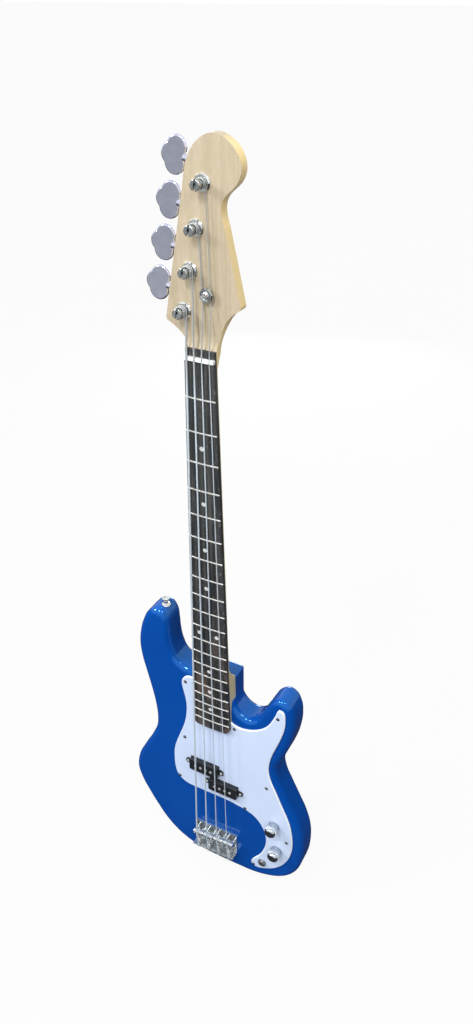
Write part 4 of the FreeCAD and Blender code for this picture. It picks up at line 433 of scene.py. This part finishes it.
def close_tree(tree, geometry, finish):
    """Ends a tree: real geometry in place of instances, smooth faces and a finish."""
    real = add_node(tree, "GeometryNodeRealizeInstances", {"Geometry": geometry})
    smooth = add_node(tree, "GeometryNodeSetShadeSmooth", {0: real.outputs[0]})
    skin = add_node(tree, "GeometryNodeSetMaterial", {
        "Geometry": smooth.outputs[0], "Material": finish.material})
    add_node(tree, "NodeGroupOutput", {0: skin.outputs[0]})


def show(name, mesh):
    """A new object for a mesh, linked into the scene."""
    piece = bpy.data.objects.new(name, mesh)
    bpy.context.collection.objects.link(piece)
    print(name, "faces:", len(mesh.polygons))
    return piece


def make_piece(name, tree, place, **sizes):
    """Runs a tree once with these sizes and keeps the result as a plain mesh at this place."""
    holder = bpy.data.objects.new(name + "_maker", bpy.data.meshes.new(name + "_seed"))
    bpy.context.collection.objects.link(holder)
    modifier = holder.modifiers.new("shape", "NODES")
    modifier.node_group = tree
    for item in tree.interface.items_tree:
        if item.in_out == "INPUT" and item.name in sizes:
            modifier[item.identifier] = sizes[item.name]
    shown = holder.evaluated_get(bpy.context.evaluated_depsgraph_get())
    mesh = bpy.data.meshes.new_from_object(shown)
    bpy.data.objects.remove(holder)
    mesh.transform(place)
    mesh.name = name
    return show(name, mesh)


# %% [markdown]
# ## Intonation springs
# Each saddle is held back by a screw inside a small coil spring, from the upright flange of the bridge to
# the back of the saddle. When the saddle slides forward the spring grows longer; here each spring is built
# once, at its present length, and stays where it is.

# %% Springs
WIRE_RADIUS = 0.0004
COIL_RADIUS = 0.0024
FLANGE_THICKNESS = 0.002
spring_tree, ask = new_tree("coil_spring", Turns=10.0, Length=0.02, Coil=COIL_RADIUS, Wire=WIRE_RADIUS)
coil = add_node(spring_tree, "GeometryNodeCurveSpiral", {
    "Resolution": 28, "Rotations": ask["Turns"], "Start Radius": ask["Coil"], "End Radius": ask["Coil"],
    "Height": ask["Length"]})
round_wire = add_node(spring_tree, "GeometryNodeCurvePrimitiveCircle", {
    "Resolution": 10, "Radius": ask["Wire"]})
spring_wire = add_node(spring_tree, "GeometryNodeCurveToMesh", {
    "Curve": coil.outputs[0], "Profile Curve": round_wire.outputs[0], "Fill Caps": True})
close_tree(spring_tree, spring_wire.outputs[0], steel)
screw_low, screw_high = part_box("intonation_screws")
flange_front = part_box("bridge_plate")[0].z + FLANGE_THICKNESS
for letter in STRINGS:
    low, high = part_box(f"saddle_{letter}")
    start = Vector(((low.x + high.x) / 2, (screw_low.y + screw_high.y) / 2, flange_front + WIRE_RADIUS))
    length = low.z - WIRE_RADIUS - start.z
    spring = make_piece(f"spring_{letter}", spring_tree, Matrix.Translation(start), Length=length)
    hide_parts(f"intonation_spring_{letter}")
    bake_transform(spring)

# %% [markdown]
# ## Knurled knobs
# The chrome knobs are cut with fine upright ribs so that fingers don't slip. One thin rib is repeated round
# a circle, from just above the guard to where the dome begins. The ribs turn with the knob, and their
# chrome is duller than the dome's, because no polishing wheel reaches between them.

# %% Knurls
KNOB_DOME = 0.0045
KNURL_GAP = 0.0006
knurl_chrome = metal("knurl_chrome", (0.56, 0.60, 0.65), (0.64, 0.68, 0.73), 0.34, 0.42, 900, 0.002, 0.9)
knurl_tree, ask = new_tree("knurl", Count=80, Radius=0.0095, Height=0.012, Rib=0.00022)
ring = add_node(knurl_tree, "GeometryNodeMeshCircle", {"Vertices": ask["Count"], "Radius": ask["Radius"]})
rib = add_node(knurl_tree, "GeometryNodeMeshCylinder", {
    "Vertices": 6, "Side Segments": 1, "Radius": ask["Rib"], "Depth": ask["Height"]})
ribs = add_node(knurl_tree, "GeometryNodeInstanceOnPoints", {
    "Points": ring.outputs[0], "Instance": rib.outputs[0]})
close_tree(knurl_tree, ribs.outputs[0], knurl_chrome)
for control in ("volume", "tone"):
    low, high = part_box(f"knob_{control}")
    radius = (high.x - low.x) / 2
    front, rear = low.y + KNOB_DOME, high.y - KNURL_GAP
    centre = Matrix.Translation(((low.x + high.x) / 2, (front + rear) / 2, (low.z + high.z) / 2))
    knurl = make_piece(f"knurl_{control}", knurl_tree, centre @ Matrix.Rotation(math.pi / 2, 4, "X"),
                       Radius=radius, Height=rear - front)
    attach(knurl, f"{control}_control")

# %% [markdown]
# ## Felt washers
# A white felt washer sits under each strap button and keeps the metal off the lacquer. It is a soft flat
# ring, so its profile has round edges, and its skin is uneven: the mesh is nudged a little and the finish
# is all fuzz.

# %% Felt
FELT_RADIUS = 0.007
FELT_BORE = 0.0022
FELT_THICKNESS = 0.0016
EDGE_WAVES = ((0.006, 5, 0), (0.004, 13, 1))
felt = Finish("white_felt", Specular_IOR_Level=0.1, Sheen_Weight=0.4, Sheen_Roughness=0.6)
felt.colour(felt.clouds(1500, 4), (0.3, (0.62, 0.61, 0.58)), (0.7, (0.80, 0.79, 0.76)))
felt.rough(felt.clouds(900, 3), 0.85, 1.0)
felt.relief(felt.clouds(3500, 3, 1.0), 0.7, 0.0003)


def felt_profile():
    """Radius and height round the section of a washer, with round outer edges."""
    edge = FELT_THICKNESS / 2
    half_way = (FELT_BORE + FELT_RADIUS) / 2
    steps = [math.radians(a) for a in range(-90, 91, 15)]
    outer = [(FELT_RADIUS - edge + edge * math.cos(a), edge * math.sin(a)) for a in steps]
    return [(FELT_BORE, -edge), (half_way, -edge), *outer, (half_way, edge), (FELT_BORE, edge)]


def add_washer(form, centre, sides=72):
    """Turns the profile round a centre, with an edge that isn't quite a circle."""
    rows = []
    for k in range(sides):
        angle = 2 * math.pi * k / sides
        wave = 1 + sum(share * math.sin(count * angle + shift) for share, count, shift in EDGE_WAVES)
        row = [form.verts.new(centre + Vector((r * wave * math.cos(angle), r * wave * math.sin(angle), h)))
               for r, h in felt_profile()]
        rows.append(row)
    for row, after in zip(rows, rows[1:] + rows[:1]):
        for i in range(len(row)):
            j = (i + 1) % len(row)
            form.faces.new((row[i], after[i], after[j], row[j]))


def mesh_piece(name, form, finish):
    """A new object with the shape of a bmesh, which is freed, and a finish."""
    mesh = bpy.data.meshes.new(name)
    form.to_mesh(mesh)
    form.free()
    mesh.materials.append(finish.material)
    return show(name, mesh)


low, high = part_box("strap_felts")
middle = (low.y + high.y) / 2
felt_form = bmesh.new()
add_washer(felt_form, Vector((low.x + FELT_RADIUS, middle, high.z - FELT_THICKNESS / 2)))
add_washer(felt_form, Vector((high.x - FELT_RADIUS, middle, low.z + FELT_THICKNESS / 2)))
bmesh.ops.recalc_face_normals(felt_form, faces=felt_form.faces)
felt_washers = mesh_piece("felt_washers", felt_form, felt)
felt_washers.data.shade_smooth()
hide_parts("strap_felts")
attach(felt_washers, "instrument")

# %% [markdown]
# ## Camera
# The photograph was taken from above and to the right of the strings. Its focal length in pixels and the
# place of the camera were worked out from the scale length and the frets; they are kept here as named
# values.

# %% Camera
FRAME_HEIGHT_PIXELS = 1024
FOCAL_PIXELS = 856.9
SENSOR_HEIGHT = 36.0
eye = Vector((0.4837, -0.8147, 0.3903))
look = Vector((-0.398, 0.745, -0.535)).normalized()
up_hint = Vector((-0.244, 0.476, 0.845))
right = look.cross(up_hint).normalized()
up = right.cross(look)
lens = bpy.data.cameras.new("camera")
lens.sensor_fit = "VERTICAL"
lens.sensor_height = SENSOR_HEIGHT
lens.lens = FOCAL_PIXELS / FRAME_HEIGHT_PIXELS * SENSOR_HEIGHT
camera = bpy.data.objects.new("camera", lens)
turn = Matrix((right, up, -look)).transposed()
camera.matrix_world = Matrix.Translation(eye) @ turn.to_4x4()
bpy.context.collection.objects.link(camera)
bpy.context.scene.camera = camera
print("lens", round(lens.lens, 2), "mm")

# %% [markdown]
# ## Floor
# The bass stands in a plain white studio. The floor is a pale grey that glows white where it is looked at,
# straight or in a mirror, and keeps a soft shadow of the bass.

# %% Floor
FLOOR_HALF_WIDTH = 40.0
FLOOR_GAP = 0.0005
FLOOR_GLOW = 1.04
GLOW_SHARE = 0.9


def ray_mask(tree):
    """One where a ray comes from the camera, a reflection or a refraction."""
    path = tree.nodes.new("ShaderNodeLightPath")
    mask = path.outputs["Is Camera Ray"]
    for label in ("Is Glossy Ray", "Is Transmission Ray"):
        inputs = {0: mask, 1: path.outputs[label]}
        mask = add_node(tree, "ShaderNodeMath", inputs, operation="MAXIMUM").outputs[0]
    return mask


def lay_flat(name, half_width, height, finish):
    """A square sheet round the origin at this height."""
    form = bmesh.new()
    bmesh.ops.create_grid(form, x_segments=1, y_segments=1, size=half_width)
    bmesh.ops.translate(form, verts=form.verts, vec=(0, 0, height))
    return mesh_piece(name, form, finish)


pale = Finish("studio_floor", Specular_IOR_Level=0.0)
pale.colour(pale.clouds(3, 4), (0.3, (0.29, 0.295, 0.30)), (0.7, (0.33, 0.335, 0.34)))
pale.rough(pale.clouds(40, 3), 0.8, 0.95)
glow = pale.add("ShaderNodeEmission", {"Color": (1, 1, 1, 1), "Strength": FLOOR_GLOW})
share = pale.add("ShaderNodeMath", {0: ray_mask(pale.tree), 1: GLOW_SHARE}, operation="MULTIPLY")
blend = pale.add("ShaderNodeMixShader", {0: share.outputs[0], 1: pale.shader.outputs[0], 2: glow.outputs[0]})
pale.tree.links.new(blend.outputs[0], pale.tree.nodes["Material Output"].inputs["Surface"])
floor = lay_flat("floor", FLOOR_HALF_WIDTH, cad_low.z - FLOOR_GAP, pale)

# %% [markdown]
# ## A dark mat for the reflections
# Gloss and chrome show what stands in front of them. If that is all white, the lacquer looks milky and the
# chrome looks like chalk. Photographers lay black cloth round such things; this mat does the same. It fades
# to a pale grey in front, where the chrome on the head looks, and to the white of the room far behind, so
# that its end leaves no hard line in the lacquer. Only reflections see it.

# %% Dark mat
MAT_HALF_WIDTH = 9.0
MAT_REACH = (-1.6, 8.4)
black = (0.035, 0.035, 0.04)
front_fade = ((0.0, (0.53, 0.54, 0.54)), (0.065, black))
back_fade = ((0.22, black), (0.30, (0.12, 0.12, 0.12)), (0.45, (0.3, 0.3, 0.3)), (1.0, (0.8, 0.8, 0.8)))
cloth = Finish("black_cloth", Specular_IOR_Level=0.0)
cloth.colour(cloth.between(cloth.along("Y"), *MAT_REACH), *front_fade, *back_fade)
cloth.rough(cloth.clouds(60, 3), 0.8, 0.95)
dark_mat = lay_flat("dark_mat", MAT_HALF_WIDTH, cad_low.z, cloth)
for ray in ("camera", "diffuse", "transmission", "volume_scatter", "shadow"):
    setattr(dark_mat, f"visible_{ray}", False)

# %% [markdown]
# ## Light
# The light comes from a bright ceiling in front of and above the bass, so faces that look up are the
# brightest, the front is next, and the sides fall off. One gradient over the room does that better than a
# big lamp, because it has no edge to show in the lacquer. What looks at the room straight or in a mirror
# sees it plain white.

# %% Room light
CEILING = (-0.05, -0.52, 0.85)
FAR_FROM_CEILING = 0.08
UNDER_CEILING = 1.34
world = bpy.data.worlds.new("studio")
world.use_nodes = True
bpy.context.scene.world = world
room = world.node_tree
backing = room.nodes["Background"]
backing.inputs["Color"].default_value = (1.0, 1.0, 1.0, 1.0)
direction = room.nodes.new("ShaderNodeTexCoord").outputs["Generated"]
upward = add_node(room, "ShaderNodeVectorMath", {0: direction, 1: CEILING}, operation="DOT_PRODUCT")
fall = add_node(room, "ShaderNodeMapRange", {
    "Value": upward.outputs["Value"], "From Min": 0.0, "From Max": 1.0,
    "To Min": FAR_FROM_CEILING, "To Max": UNDER_CEILING})
strength = add_node(room, "ShaderNodeMix", {0: ray_mask(room), 2: fall.outputs["Result"], 3: 1.0})
room.links.new(strength.outputs[0], backing.inputs["Strength"])
bpy.context.scene.view_settings.view_transform = "Standard"
print("room light from", FAR_FROM_CEILING, "to", UNDER_CEILING)

# %% [markdown]
# ## Lamps
# Small lamps give what an even room can't: sparkles. Two softboxes side by side make the double highlights
# on the rounded edges, a weaker one lights the shoulders on the other side, and a broad one lights the
# back.

# %% Lamps
BODY_MIDDLE = Vector((0.0, 0.0, -0.45))
SMALL_BOX = (0.28, 0.45)
BROAD_BOX = (0.9, 0.9)
FRONT_DISTANCE = 2.2
BACK_DISTANCE = 2.6


def softbox(name, toward, distance, size, power):
    """A lamp that looks at the middle of the body from this direction."""
    lamp = bpy.data.lights.new(name, "AREA")
    lamp.shape = "RECTANGLE"
    lamp.size, lamp.size_y = size
    lamp.energy = power
    holder = bpy.data.objects.new(name, lamp)
    away = Vector(toward).normalized()
    holder.location = BODY_MIDDLE + away * distance
    holder.rotation_euler = away.to_track_quat("Z", "Y").to_euler()
    bpy.context.collection.objects.link(holder)
    print(name, power, "W at", [round(v, 2) for v in holder.location])


softbox("ceiling_lamp_0", (-0.62, -0.45, 0.64), FRONT_DISTANCE, SMALL_BOX, 19)
softbox("ceiling_lamp_1", (-0.02, -0.55, 0.83), FRONT_DISTANCE, SMALL_BOX, 19)
softbox("side_lamp", (0.52, -0.28, 0.81), FRONT_DISTANCE, SMALL_BOX, 9)
softbox("back_lamp", (-0.35, 0.93, 0.06), BACK_DISTANCE, BROAD_BOX, 24)
